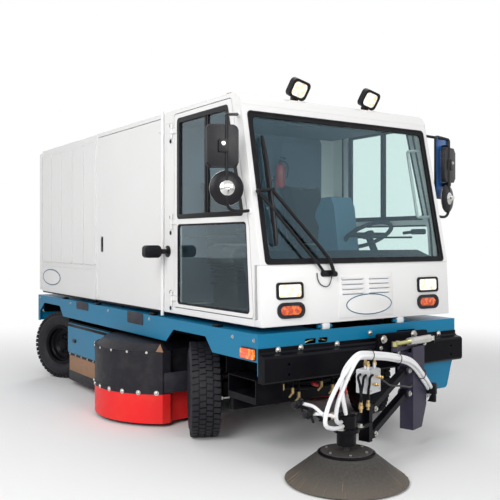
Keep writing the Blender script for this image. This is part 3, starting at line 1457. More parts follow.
    def wipers(self) -> None:
        """Build the pantograph wiper, its pivot and the washer hose."""
        plane = self.screen()

        def on(x: float, up: float, off: float) -> Vector:
            """Return a point over the windshield."""
            return plane @ Vector((x, up, off))

        def over(x: float, z: float, off: float) -> Vector:
            """Return a point over the nose."""
            return self.nose(x, z) @ Vector((0.0, 0.0, off))

        arms = Form("wiper_arms", PLASTIC)
        pivot = over(-0.29, 1.241, 0.03)
        arms.tube(smooth_route([pivot, on(-0.325, 0.0, 0.04), on(-0.37, 0.06, 0.044), on(-0.56, 0.275, 0.046),
            on(-0.751, 0.493, 0.042)]), 0.013, 12)
        arms.tube(smooth_route([over(-0.375, 1.262, 0.014), on(-0.43, -0.02, 0.036), on(-0.5, 0.05, 0.04),
            on(-0.68, 0.262, 0.042), on(-0.866, 0.481, 0.042)]), 0.01, 12)
        arms.rod(on(-0.872, 0.481, 0.04), on(-0.745, 0.497, 0.04), 0.011)
        for x, up in ((-0.866, 0.481), (-0.751, 0.493)):
            arms.rod(on(x, up, 0.028), on(x, up, 0.058), 0.014)
        arms.prism(rounded([(-0.055, -0.022), (0.055, -0.022), (0.055, 0.022), (-0.055, 0.022)], 0.0215), 0.012,
            self.nose(-0.335, 1.246), 0.004)
        arms.rod(over(-0.29, 1.241, 0.004), over(-0.29, 1.241, 0.048), 0.019)
        arms.rod(over(-0.375, 1.255, 0.004), over(-0.375, 1.255, 0.03), 0.012)
        arms.done()
        blade = Form("wiper_blade", PLASTIC)
        top, middle, low = (-0.762, 0.874), (-0.7585, 0.495), (-0.755, 0.125)
        blade.tube(bend([(*top, 0.016), (-0.761, 0.8, 0.03), (*middle, 0.04), (-0.756, 0.2, 0.03), (*low, 0.016)], on),
            0.012, 8)
        for up, reach in ((0.69, 0.13), (0.3, 0.13)):
            blade.tube(bend([(-0.759, up + reach, 0.012), (-0.759, up, 0.032), (-0.759, up - reach, 0.012)], on), 0.01,
                8)
        blade.block(on(-0.7585, 0.4995, 0.008), (0.012, 0.765, 0.016), plane.to_3x3().to_4x4() @ Matrix.Rotation(0.0093,
            4, "Z"), 0.002)
        blade.rod(on(-0.775, 0.497, 0.036), on(-0.735, 0.497, 0.04), 0.016)
        blade.done()
        line = bend([(-0.424, 1.251, 0.005), (-0.428, 1.215, 0.01), (-0.405, 1.17, 0.012), (-0.35, 1.15, 0.012),
            (-0.31, 1.175, 0.012), (-0.305, 1.235, 0.02)], over)
        hose("washer_hose", BLACK_HOSE, line, 0.007, 10, "chassis")

    def nose_parts(self) -> None:
        """Fit the grille plate with its louvres, the plain oval plate and the lamps in the nose."""
        x, z, width, height = self.grille
        Form("grille_plate", WHITE).prism(slab(width, height, 0.012), 0.0035, self.nose(x, z), 0.0015).done()
        step = (self.nose(x, 1.17) @ Vector()) - (self.nose(x, 1.204) @ Vector())
        for tag, aside in (("right", -0.1275), ("left", 0.1275)):
            for part, finish, top, slat in (("hoods", WHITE, 1.207, (0.205, 0.02, 0.019)),
                    ("gaps", TRIM, 1.1965, (0.19, 0.005, 0.006))):
                start = self.nose(x + aside, top) @ Vector((0.0, 0.0, 0.0035))
                rows = self.tools.slats.grow(finish, {"Count": 4, "Start": tuple(start), "Step": tuple(step),
                    "Slat": slat})
                Form(f"louvre_{part}_{tag}", finish).take(rows).done()
        Form("nose_oval_plate", WHITE).prism(oval(0.44, 0.15), 0.003, self.nose(0.05, 1.018, 0.0032), 0.001).done()
        Form("nose_oval_line", EMBLEM).ring(oval(0.44, 0.15), oval(0.426, 0.136), 0.0045,
            self.nose(0.05, 1.018, 0.0032)).done()
        bezels, glass = Form("headlamp_bezels", PLASTIC), Form("headlamp_lenses", HEADLIGHT)
        rings, amber = Form("indicator_rings", RUBBER), Form("indicator_lenses", AMBER)
        for side in Side:
            lamp = self.nose(side.value * 0.66, 1.138, -0.022)
            bezels.ring(slab(0.222, 0.114, 0.022), slab(0.19, 0.084, 0.014), 0.034, lamp)
            glass.prism(slab(0.194, 0.088, 0.016), 0.029, lamp, 0.006)
            blink = self.nose(side.value * 0.655, 1.008, -0.022)
            rings.ring(slab(0.226, 0.106, 0.05), slab(0.178, 0.062, 0.029), 0.036, blink)
            amber.prism(slab(0.182, 0.066, 0.031), 0.03, blink, 0.01)
        bezels.done(replaces=["road_lamps"])
        for form in (glass, rings, amber):
            form.done()

    def mounts(self) -> None:
        """Set the rubber mounts and bolts between the cab and the frame."""
        mounts, bolts = Form("cab_mounts", LINK_WHITE), Form("cab_mount_pins", TEAL)
        for x in (-0.35, 0.365):
            mounts.block(spot(x, 0.035, 0.884), (0.062, 0.04, 0.044), edge=0.006)
            bolts.rod(spot(x - 0.062, 0.04, 0.882), spot(x + 0.062, 0.04, 0.882), 0.014)
        mounts.done()
        bolts.done()

    def build(self) -> None:
        """Dress the whole cab outside."""
        self.nose_panel()
        self.roof_panel()
        self.seals()
        self.wipers()
        self.nose_parts()
        self.mounts()
        for side in Side:
            self.doors(side)
        paint({"cab_frame": WHITE, "cab_tub": WHITE, "windshield": GLASS})


@dataclass
class CabInside:
    """The cab's inside: liners, seats, dashboard, console, bottle and grab bar."""

    seat_x: float = 0.4
    cushion: Triple = (0.46, 0.48, 0.115)
    back_rest: Triple = (0.45, 0.105, 0.58)
    cap: float = 0.024
    pressure: float = 4.0
    swell_frames: int = 20
    voxels: Pair = (0.008, 0.012)
    bottle: Pair = (0.187, 1.285)

    def liners(self) -> None:
        """Line the rear wall, the roof and the floor."""
        rear = Form("cab_rear_liner", TRIM)
        rear.prism(slab(1.5, 1.44, 0.06), 0.006, front_face(-0.06, 1.343, 1.69), 0.002)
        for x in (-0.55, -0.05, 0.45):
            rear.prism(slab(0.42, 1.3, 0.04), 0.01, front_face(x, 1.343, 1.69), 0.004)
        rear.done()
        Form("cab_roof_liner", TRIM).block(spot(0.0, 0.86, 2.395), (1.6, 0.92, 0.01),
            edge=0.004).block(spot(0.0, 0.8, 2.386), (0.34, 0.16, 0.012), edge=0.005).done()
        mat = Form("cab_floor_mat", RUBBER)
        mat.block(spot(0.0, 0.72, 0.9555), (1.6, 1.2, 0.008))
        for step in range(15):
            mat.block(spot(0.0, 0.2 + 0.075 * step, 0.9605), (1.55, 0.012, 0.003), edge=0.001)
        mat.done()

    def soft(self, name: str, size: Triple, middle: Vector, turn: Matrix, crown: float) -> bpy.types.Mesh:
        """Make one stuffed form.

        Args:
            name: The form's name.
            size: Its size before it swells.
            middle: Its middle.
            turn: Its rotation.
            crown: The radius of its edges.

        Returns:
            Its mesh at its place.
        """
        form = Form(name, CLOTH)
        form.block(Vector(), size, edge=crown, steps=6)
        bmesh.ops.recalc_face_normals(form.bm, faces=form.bm.faces)
        mesh = bpy.data.meshes.new(name)
        form.bm.to_mesh(mesh)
        form.bm.free()
        holder = bpy.data.objects.new(name, mesh)
        bpy.context.scene.collection.objects.link(holder)
        remesh = holder.modifiers.new("remesh", "REMESH")
        remesh.mode = "VOXEL"
        remesh.voxel_size = self.voxels[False]
        graph = bpy.context.evaluated_depsgraph_get()
        fine = bpy.data.meshes.new_from_object(holder.evaluated_get(graph), depsgraph=graph)
        holder.modifiers.clear()
        holder.data = fine
        start = [vertex.co.copy() for vertex in fine.vertices]
        cloth = holder.modifiers.new("cloth", "CLOTH")
        cloth.settings.use_pressure = True
        cloth.settings.uniform_pressure_force = self.pressure
        cloth.settings.quality = 5
        cloth.settings.effector_weights.gravity = 0.0
        cloth.point_cache.frame_start = 1
        cloth.point_cache.frame_end = self.swell_frames
        for frame in range(1, self.swell_frames + 1):
            bpy.context.scene.frame_set(frame)
        graph = bpy.context.evaluated_depsgraph_get()
        swollen = bpy.data.meshes.new_from_object(holder.evaluated_get(graph), depsgraph=graph)
        holder.modifiers.clear()
        for vertex, first in zip(swollen.vertices, start):
            move = vertex.co - first
            if move.length > self.cap:
                vertex.co = first + move.normalized() * self.cap
        holder.data = swollen
        bpy.context.scene.frame_set(1)
        finished = bmesh.new()
        finished.from_mesh(holder.data)
        bmesh.ops.transform(finished, matrix=Matrix.Translation(middle) @ turn, verts=finished.verts)
        result = bpy.data.meshes.new(name)
        finished.to_mesh(result)
        finished.free()
        bpy.data.objects.remove(holder)
        return result

    def seats(self) -> None:
        """Upholster both seats on their pedestals."""
        lean = Matrix.Rotation(math.radians(-12.0), 4, "X")
        flat = Matrix.Rotation(math.radians(3.0), 4, "X")
        seat = self.soft("seat_cushion", self.cushion, Vector((0.0, APRON_Y + 0.98, 1.36)), flat, 0.045)
        rest = self.soft("seat_back", self.back_rest, Vector((0.0, APRON_Y + 1.225, 1.69)), lean, 0.048)
        pedestals = Form("seat_pedestals", PLASTIC)
        for side in Side:
            shift = offset(side.value * self.seat_x, 0.0, 0.0)
            for name, mesh in (("cushion", seat), ("back", rest)):
                piece = Form(f"seat_{name}_{side.tag}", CLOTH).take(mesh, shift).done(sharp=180.0)
            x = side.value * self.seat_x
            pedestals.block(spot(x, 0.98, 1.1), (0.34, 0.36, 0.29), edge=0.02)
            for step in range(6):
                pedestals.block(spot(x, 0.98, 1.135 + 0.026 * step), (0.37, 0.39, 0.014), edge=0.006)
            pedestals.block(spot(x, 0.98, 1.292), (0.42, 0.44, 0.018), edge=0.006)
            pedestals.block(spot(x, 1.245, 1.42), (0.3, 0.03, 0.22), lean, 0.01)
        pedestals.done(replaces=["seats"])

    def console(self) -> None:
        """Build the blue-grey control tower between the seats."""
        form = Form("console_tower", CONSOLE)
        profile = [(0.455, 1.33), (0.74, 1.33), (0.7, 1.58), (0.752, 1.655), (0.748, 1.7), (0.665, 1.815),
            (0.56, 1.818), (0.515, 1.74)]
        where = stand(spot(0.14, 0.0, 0.0), (0, 1, 0), (0, 0, 1))
        form.prism(profile, 0.22, where, 0.011)
        form.block(spot(0.25, 0.62, 1.265), (0.36, 0.44, 0.15), edge=0.025, steps=3)
        form.block(spot(0.25, 0.62, 1.08), (0.28, 0.34, 0.26), edge=0.02)
        form.done()
        buttons = Form("console_buttons", PLASTIC)
        for step in range(3):
            buttons.rod(spot(0.2 + 0.05 * step, 0.742, 1.69), spot(0.2 + 0.05 * step, 0.752, 1.69), 0.012)
        buttons.block(spot(0.25, 0.61, 1.818), (0.12, 0.06, 0.008))
        buttons.done()

    def extinguisher(self) -> None:
        """Hang the red bottle on the rear wall."""
        red, head = Form("bottle", RED_PAINT), Form("bottle_head", PLASTIC)
        x, back = self.bottle
        red.lathe([(0.0, 0.0), (0.036, 0.003), (0.042, 0.014), (0.042, 0.175), (0.036, 0.198), (0.018, 0.212),
            (0.013, 0.222)], Matrix.Translation(spot(x, back, 1.93)), 28)
        red.done()
        head.rod(spot(x, back, 2.15), spot(x, back, 2.18), 0.016)
        for size, z, turn in (((0.018, 0.1, 0.01), 2.195, 0.2), ((0.016, 0.09, 0.008), 2.17, -0.15)):
            head.block(spot(x, back - 0.023, z), size, Matrix.Rotation(turn, 4, "X"))
        head.tube(bend([(x, 1.27, 2.165), (0.232, 1.25, 2.16), (0.247, 1.245, 2.09), (0.242, 1.262, 2.02)]), 0.007, 8)
        head.block(spot(x, back + 0.04, 2.02), (0.1, 0.02, 0.022), edge=0.004)
        head.done()

    def grab_bars(self) -> None:
        """Fit the white grab bar beside each front corner."""
        for side in Side:
            form = Form(f"grab_bar_{side.tag}", LINK_WHITE)
            route = [(0.842, 0.265, 2.2), (0.835, 0.285, 2.2), (0.812, 0.35, 2.2), (0.802, 0.372, 2.196),
                (0.8, 0.37, 2.165), (0.8, 0.32, 1.93), (0.8, 0.272, 1.695), (0.802, 0.264, 1.663),
                (0.812, 0.242, 1.661), (0.835, 0.196, 1.661), (0.842, 0.18, 1.661)]
            form.tube(bend(route, side.spot), 0.012, 12)
            form.done()

    def build(self) -> None:
        """Fit out the cab."""
        self.liners()
        self.seats()
        self.console()
        self.extinguisher()
        self.grab_bars()
        paint({"dashboard": DASH})


# ---------------------------------------------------------------- lamps and mirrors
@dataclass
class Lamps:
    """Work lamps, side lamps, beacon, side markers and rear lamps."""

    tools: Toolbox
    work_x: Pair = (-0.277, 0.431)
    pitch: float = 26.0

    def work_lamps(self) -> None:
        """Build the two tilted work lamps on the roof."""
        turn = math.radians(self.pitch)
        housings, glass = Form("work_lamp_housings", PLASTIC), Form("work_lamp_lenses", WORK_LIGHT)
        for x in self.work_x:
            face = stand(spot(x, 0.425, 2.592), (1, 0, 0), (0, -math.sin(turn), math.cos(turn)))
            face = face @ Matrix.Rotation(math.radians(-12.0), 4, "Z")
            housings.ring(slab(0.17, 0.144, 0.036), slab(0.13, 0.106, 0.028), 0.018, face)
            back = face @ offset(0.0, 0.0, -0.052)
            housings.prism(slab(0.126, 0.104, 0.028), 0.03, back)
            housings.prism(slab(0.17, 0.144, 0.036), 0.03, face @ offset(0, 0, -0.028))
            glass.prism(slab(0.134, 0.11, 0.03), 0.012, face, 0.004)
            housings.block(spot(x, 0.48, 2.518), (0.042, 0.05, 0.06), edge=0.006)
            housings.block(spot(x, 0.485, 2.494), (0.11, 0.06, 0.01))
        housings.done(replaces=["work_lamps"])
        glass.done()

    def side_lamps(self, side: Side) -> None:
        """Build one side lamp that stands out beside the rear of the cab."""
        form = Form(f"side_lamp_{side.tag}", PLASTIC)
        x = side.value * 1.035
        form.prism(slab(0.144, 0.098, 0.03), 0.06, front_face(x, 1.345, 1.388), 0.012)
        form.rod(side.spot(0.89, 1.318, 1.388), side.spot(0.985, 1.318, 1.388), 0.02)
        form.lathe([(0.046, 0.0), (0.046, 0.01), (0.026, 0.016)], side.plane(0.89, 1.318, 1.388), 24)
        form.done()
        Form(f"side_lamp_lens_{side.tag}", AMBER).prism(slab(0.104, 0.052, 0.014), 0.008,
            rear_face(x + side.value * 0.008, 1.341, 1.388), 0.003).done()

    def beacon(self) -> None:
        """Build the amber beacon with its wire cage."""
        where = Matrix.Translation(spot(-0.38, 1.2, 2.49))
        Form("beacon_base", PLASTIC).lathe([(0.078, 0.0), (0.078, 0.02), (0.07, 0.03), (0.06, 0.032)], where, 36).done()
        Form("beacon_dome", BEACON).lathe([(0.062, 0.03), (0.064, 0.06), (0.064, 0.125), (0.058, 0.15), (0.04, 0.168),
            (0.0, 0.174)], where, 36).done()
        cage = Form("beacon_cage", ZINC)
        for turn in range(4):
            angle = math.pi * turn / 4
            arc = [where @ Vector((0.08 * math.cos(angle) * math.cos(step * math.pi / 16),
                0.08 * math.sin(angle) * math.cos(step * math.pi / 16), 0.066 + 0.13 * math.sin(step * math.pi / 16)))
                for step in range(17)]
            low = [arc[0] - Vector((0, 0, 0.05))] + arc + [arc[-1] - Vector((0, 0, 0.05))]
            cage.tube(low, 0.0034, 6)
        for height, radius in ((0.066, 0.08), (0.15, 0.064)):
            cage.tube([where @ point for point in circle(radius, 36, height)], 0.0034, 6, closed=True)
        cage.done()

    def markers(self, side: Side) -> None:
        """Fit the amber marker at the front of the fender and the red one at its rear."""
        base, lens = Form(f"marker_base_{side.tag}", PLASTIC), Form(f"marker_lens_{side.tag}", MARKER)
        middle = side.plane(FENDER_HALF, 0.105, 0.735)
        base.prism(slab(0.17, 0.078, 0.01), 0.005, middle)
        lens.prism(slab(0.158, 0.066, 0.008), 0.02, middle, 0.006)
        base.done()
        lens.done()

    def rear_lamps(self, side: Side) -> None:
        """Build one rear lamp cluster."""
        housing = Form(f"rear_lamp_housing_{side.tag}", PLASTIC)
        middle = rear_face(side.value * 0.74, 4.372, 0.72)
        housing.prism(slab(0.26, 0.11, 0.016), 0.016, middle, 0.005)
        housing.done()
        for name, finish, shift, width in (("red", RED_LENS, -0.055, 0.115), ("amber", AMBER, 0.045, 0.07),
                ("white", CLEAR, 0.102, 0.034)):
            Form(f"rear_lamp_{name}_{side.tag}", finish).prism(slab(width, 0.086, 0.008), 0.01,
                middle @ offset(-side.value * shift, 0.0, 0.014), 0.003).done()

    def build(self) -> None:
        """Build every lamp outside the nose."""
        self.work_lamps()
        self.beacon()
        for side in Side:
            self.side_lamps(side)
            self.markers(side)
            self.rear_lamps(side)


@dataclass
class Mirrors:
    """The mirrors on their bent arms."""

    tools: Toolbox
    toe_in: float = 18.0
    plate: Triple = (1.087, 0.19, 2.09)
    dish: Triple = (1.062, 0.176, 1.815)

    def arm(self, side: Side) -> None:
        """Bend one mirror arm with its end caps."""
        form = Form(f"mirror_arm_{side.tag}", PLASTIC)
        route = [(0.894, 0.3, 2.33), (0.95, 0.255, 2.318), (1.04, 0.185, 2.299), (1.067, 0.17, 2.294),
            (1.067, 0.17, 2.25), (1.067, 0.17, 2.02), (1.067, 0.17, 1.8), (1.067, 0.17, 1.712), (1.04, 0.168, 1.672),
            (0.98, 0.16, 1.66), (0.894, 0.15, 1.672)]
        form.tube(bend(route, side.spot), 0.011, 14)
        form.done()
        caps = Form(f"mirror_arm_caps_{side.tag}", LINK_WHITE)
        for back, z in ((0.3, 2.33), (0.15, 1.672)):
            caps.lathe([(0.022, 0.0), (0.024, 0.006), (0.018, 0.016), (0.012, 0.018)], side.plane(0.888, back, z), 20)
        caps.done()

    def facing(self, side: Side, place: Triple) -> Matrix:
        """Return a mirror's frame, toed in: z forwards and a little out."""
        turn = math.radians(self.toe_in) * side.value
        x, back, z = place
        return stand(side.spot(x, back, z), (math.cos(turn), math.sin(turn), 0), (0, 0, 1))

    def big_mirror(self, side: Side) -> None:
        """Build one rectangular mirror: shell, clamp, bolt and glass."""
        where = self.facing(side, self.plate)
        shell = Form(f"mirror_shell_{side.tag}", PLASTIC)
        shell.prism(slab(0.214, 0.28, 0.032), 0.03, where @ offset(0, 0, -0.016), 0.013)
        shell.ring(slab(0.218, 0.284, 0.034), slab(0.198, 0.264, 0.026), 0.01, where @ offset(0, 0, -0.018))
        shell.prism(slab(0.06, 0.084, 0.006), 0.024, where @ offset(0, 0, 0.01), 0.003)
        shell.done(replaces=["mirrors"] if side is Side.RIGHT else [])
        Form(f"mirror_pane_{side.tag}", MIRROR).prism(slab(0.194, 0.26, 0.024), 0.003,
            where @ offset(0, 0, -0.019)).done()
        self.tools.fasteners(f"mirror_bolt_{side.tag}", 0.009, [(where @ Vector((0.0, 0.014, 0.034)),
            where.to_3x3() @ UP)])

    def round_mirror(self, side: Side) -> None:
        """Build one round mirror: dish, bracket and bulged glass."""
        where = self.facing(side, self.dish)
        Form(f"round_mirror_dish_{side.tag}", PLASTIC).lathe([(0.106, -0.012), (0.115, -0.01), (0.115, -0.002),
            (0.104, 0.006), (0.07, 0.014), (0.036, 0.018), (0.0, 0.019)], where, 44).done()
        bracket = Form(f"round_mirror_bracket_{side.tag}", CHROME)
        bracket.lathe([(0.052, 0.015), (0.046, 0.019), (0.022, 0.032), (0.014, 0.04), (0.0, 0.041)], where, 28)
        bracket.prism(slab(0.054, 0.028, 0.006), 0.02, where @ offset(0, 0.008, 0.026), 0.003)
        bracket.ring(oval(0.231, 0.231), oval(0.221, 0.221), 0.004, where @ offset(0, 0, -0.009))
        bracket.done()
        Form(f"round_mirror_pane_{side.tag}", MIRROR).lathe([(0.106, -0.011), (0.09, -0.019), (0.055, -0.025),
            (0.0, -0.028)], where, 40).done()

    def blue_plate(self) -> None:
        """Fit the larger blue-backed plate behind the left mirrors."""
        form = Form("blue_mirror_back", BLUE_BACK)
        where = self.facing(Side.LEFT, (1.05, 0.25, 2.07))
        form.prism(slab(0.215, 0.5, 0.03), 0.014, where, 0.004)
        form.done()
        edge = Form("blue_mirror_edge", PLASTIC)
        edge.ring(slab(0.226, 0.512, 0.034), slab(0.208, 0.494, 0.026), 0.018, where)
        edge.block(spot(1.075, 0.215, 2.24), (0.03, 0.05, 0.03), edge=0.004)
        edge.block(spot(1.075, 0.205, 1.93), (0.03, 0.08, 0.03), edge=0.004)
        edge.done()

    def build(self) -> None:
        """Build the mirrors of both sides."""
        for side in Side:
            self.arm(side)
            self.big_mirror(side)
            self.round_mirror(side)
        self.blue_plate()


# ---------------------------------------------------------------- body behind the cab
@dataclass
class Body:
    """The engine compartment and the hopper: latches, handles, seals, plain oval plates and small bolts."""

    tools: Toolbox
    latch: Pair = (2.653, 1.44)
    plate: Pair = (4.06, 1.074)
    hinge_x: Triple = (-0.62, 0.0, 0.62)

    def latches(self, side: Side) -> None:
        """Fit the latch of one engine door, its hinge's collars and the catch beside them."""
        body = f"engine_door_{side.tag}"
        back, z = self.latch
        form = Form(f"engine_latch_{side.tag}", PLASTIC)
        where = side.plane(0.883, back, z)
        form.prism(slab(0.052, 0.14, 0.012), 0.006, where, 0.002)
        form.prism(slab(0.026, 0.085, 0.008), 0.013, where @ offset(0.0, 0.018, 0.0), 0.004)
        form.done(body)
        Form(f"engine_hinge_catch_{side.tag}", ZINC).rod(side.spot(0.9, 1.33, 1.407), side.spot(0.917, 1.33, 1.407),
            0.012).block(side.spot(0.9, 1.345, 1.407), (0.016, 0.05, 0.018)).done()
        hinges = Form(f"engine_hinge_collars_{side.tag}", LINK_WHITE)
        for z_at in (1.05, 1.7, 2.35):
            hinges.rod(side.spot(0.904, 1.39, z_at - 0.04), side.spot(0.904, 1.39, z_at + 0.04), 0.0148, 16)
        hinges.done()

    def seams(self) -> None:
        """Lay the rubber strips under the body."""
        strip = Form("body_foot_strip", SEAL)
        for side in Side:
            strip.block(side.spot(0.886, 2.075, 0.903), (0.01, 1.33, 0.012))
            strip.block(side.spot(0.884, 3.58, 0.9), (0.01, 1.56, 0.016))
        strip.done()

    def oval(self, side: Side) -> None:
        """Fit the plain oval plate low on the hopper."""
        back, z = self.plate
        where = side.plane(0.892, back, z)
        Form(f"hopper_oval_plate_{side.tag}", WHITE).prism(oval(0.56, 0.175), 0.004, where, 0.001).done("hopper")
        Form(f"hopper_oval_line_{side.tag}", EMBLEM).ring(oval(0.56, 0.175), oval(0.538, 0.155), 0.0055,
            where).done("hopper")

    def tailgate(self) -> None:
        """Dress the tailgate: pull handles, latches, hinges and reflectors."""
        grips = Form("tailgate_grips", PLASTIC)
        for x in (-0.62, 0.62):
            grips.tube(bend([(x - 0.09, 4.458, 1.15), (x - 0.085, 4.49, 1.15), (x - 0.06, 4.5, 1.15),
                (x + 0.06, 4.5, 1.15), (x + 0.085, 4.49, 1.15), (x + 0.09, 4.458, 1.15)]), 0.011, 12)
        grips.done("tailgate")
        hinges = Form("tailgate_hinges", LINK_WHITE)
        for x in self.hinge_x:
            hinges.block(spot(x, 4.464, 2.4), (0.12, 0.01, 0.1))
        hinges.done("tailgate")
        self.tools.fasteners("tailgate_bolts", 0.009, [(spot(x + step, 4.469, 2.4 + rise), Vector((0, 1, 0)))
            for x in self.hinge_x for step in (-0.04, 0.04) for rise in (-0.03, 0.03)], body="tailgate")
        reflect = Form("tailgate_reflectors", RED_LENS)
        for x in (-0.78, 0.78):
            reflect.prism(slab(0.1, 0.05, 0.008), 0.007, rear_face(x, 4.459, 0.98), 0.002)
        reflect.done("tailgate")

    def engine_parts(self) -> None:
        """Give the engine block a head, ribs, a fan cowl and pipes."""
        form = Form("engine_dress", CAST_IRON)
        form.block(spot(0.0, 2.04, 1.3), (0.564, 0.824, 0.71), edge=0.02)
        for step in range(8):
            form.block(spot(0.0, 1.72 + 0.09 * step, 1.4), (0.575, 0.018, 0.34), edge=0.004)
        form.done(replaces=["engine"])
        cowl = Form("engine_cowl", MACHINE)
        cowl.block(spot(0.0, 2.04, 1.652), (0.4, 0.64, 0.02), edge=0.008)
        for side in Side:
            cowl.rod(side.spot(0.12, 1.8, 1.6), side.spot(0.12, 2.3, 1.6), 0.055)
        cowl.done()

    def build(self) -> None:
        """Dress the whole body."""
        for side in Side:
            self.latches(side)
            self.oval(side)
        self.seams()
        self.tailgate()
        self.engine_parts()
        paint({"engine_bay": WHITE, "engine_door_right": WHITE, "engine_door_left": WHITE, "hopper": WHITE,
            "tailgate": WHITE})


# ---------------------------------------------------------------- chassis
@dataclass
class Chassis:
    """Frame, fenders, bumper and what hangs below them."""

    tools: Toolbox
    bumper_bolts: tuple[float, ...] = (-0.783, -0.596, -0.279, 0.554, 0.743)
    mats: tuple[tuple[float, float, float, float], ...] = ((2.885, 3.189, 0.796, 0.872), (1.68, 1.98, 0.77, 0.87))

    def mat_plates(self, side: Side) -> None:
        """Lay the dark rubber mats over the teal band."""
        form = Form(f"fender_mats_{side.tag}", GREY_RUBBER)
        for front, rear, low, high in self.mats:
            middle = side.plane(FENDER_HALF, (front + rear) / 2, (low + high) / 2)
            form.prism(slab(rear - front, high - low, 0.01), 0.005, middle, 0.002)
        form.done()

    def fender_bolts(self, side: Side) -> None:
        """Set the row of bolts along one fender and the steps on its top."""
        rows = [(side.spot(FENDER_HALF, back, z), side.out()) for back, z in ((0.045, 0.825), (0.3, 0.825),
            (1.56, 0.835), (2.4, 0.835), (3.35, 0.835), (4.3, 0.835), (4.2, 0.7))]
        self.tools.fasteners(f"fender_bolts_{side.tag}", 0.009, rows)
        ledge = Form(f"fender_ledge_{side.tag}", BLACK)
        for back in (0.55, 1.55, 2.72, 3.6):
            ledge.block(side.spot(0.905, back, 0.874), (0.05, 0.08, 0.018), edge=0.004)
        ledge.done()

    def bumper(self) -> None:
        """Bolt the bumper and lay the cables in the apron's slots."""
        points = [(spot(x, -0.0085, 0.76), FORWARD) for x in self.bumper_bolts]
        points.append((spot(0.037, -0.001, 0.812), FORWARD))
        self.tools.fasteners("bumper_bolts", 0.014, points, head=Head.DOME)
        cables = Form("apron_cables", YELLOW_ROD)
        for x, low, high in ((-0.54, 0.785, 0.8), (-0.43, 0.802, 0.786)):
            cables.tube(bend([(x, 0.02, low), (x + 0.03, 0.014, (low + high) / 2 + 0.006), (x + 0.075, 0.02, high)]),
                0.0045, 8)
        cables.done()

    def underside(self) -> None:
        """Hang pipes with brass fittings and a cross beam behind the bumper, and pipes along the frame."""
        black, brass = Form("under_pipes", BLACK), Form("under_fittings", BRASS)
        for x, back, low in ((-0.6, 0.2, 0.44), (-0.5, 0.22, 0.4), (-0.43, 0.24, 0.36), (-0.24, 0.22, 0.42),
                (-0.12, 0.24, 0.38), (0.02, 0.22, 0.44)):
            black.tube(bend([(x, back + 0.06, 0.7), (x, back + 0.02, 0.62), (x + 0.012, back, low + 0.08),
                (x + 0.01, back, low + 0.03)]), 0.0095, 10)
            brass.rod(spot(x + 0.01, back, low + 0.045), spot(x + 0.01, back, low), 0.012, 6)
            brass.rod(spot(x + 0.01, back, low + 0.005), spot(x + 0.004, back + 0.03, low - 0.028), 0.009)
        for back, z, reach in ((0.3, 0.5, 0.22), (0.36, 0.455, 0.3), (0.27, 0.43, 0.1)):
            black.tube(bend([(-0.64, back, z + 0.03), (-0.45, back + 0.01, z), (-0.2, back, z - 0.02),
                (reach, back + 0.02, z + 0.01), (reach + 0.1, back + 0.06, z + 0.06)]), 0.017, 10)
        black.block(spot(-0.42, 0.42, 0.395), (0.9, 0.05, 0.19), edge=0.004)
        for x in (-0.62, -0.05):
            black.block(spot(x, 0.46, 0.58), (0.05, 0.05, 0.22))
        black.done()
        brass.done()
        red = Form("under_red_caps", RED_PAINT)
        for x, z in ((-0.36, 0.47), (0.05, 0.48)):
            red.rod(spot(x, 0.16, z), spot(x + 0.05, 0.16, z - 0.02), 0.015)
        red.done()
        lines = Form("frame_pipes", BLACK)
        for side in Side:
            for step in range(3):
                x = side.value * (0.3 - 0.03 * step)
                lines.tube(bend([(x, 0.35, 0.69), (x, 0.6, 0.655), (x, 1.6, 0.655), (x, 3.4, 0.655), (x, 4.2, 0.655),
                    (x, 4.3, 0.69)], spot, 6), 0.009, 8)
        lines.done()

    def build(self) -> None:
        """Dress the chassis."""
        for side in Side:
            self.mat_plates(side)
            self.fender_bolts(side)
        self.bumper()
        self.underside()
        paint({"frame_rails": BLACK, "cross_members": BLACK, "front_apron": TEAL, "bumper": BLACK, "fender_right": TEAL,
            "fender_left": TEAL, "rear_panel": TEAL, "wheel_housings": BLACK, "front_axle": BLACK, "rear_axle": BLACK,
            "steering_rod_front": CHROME, "steering_rod_rear": CHROME})


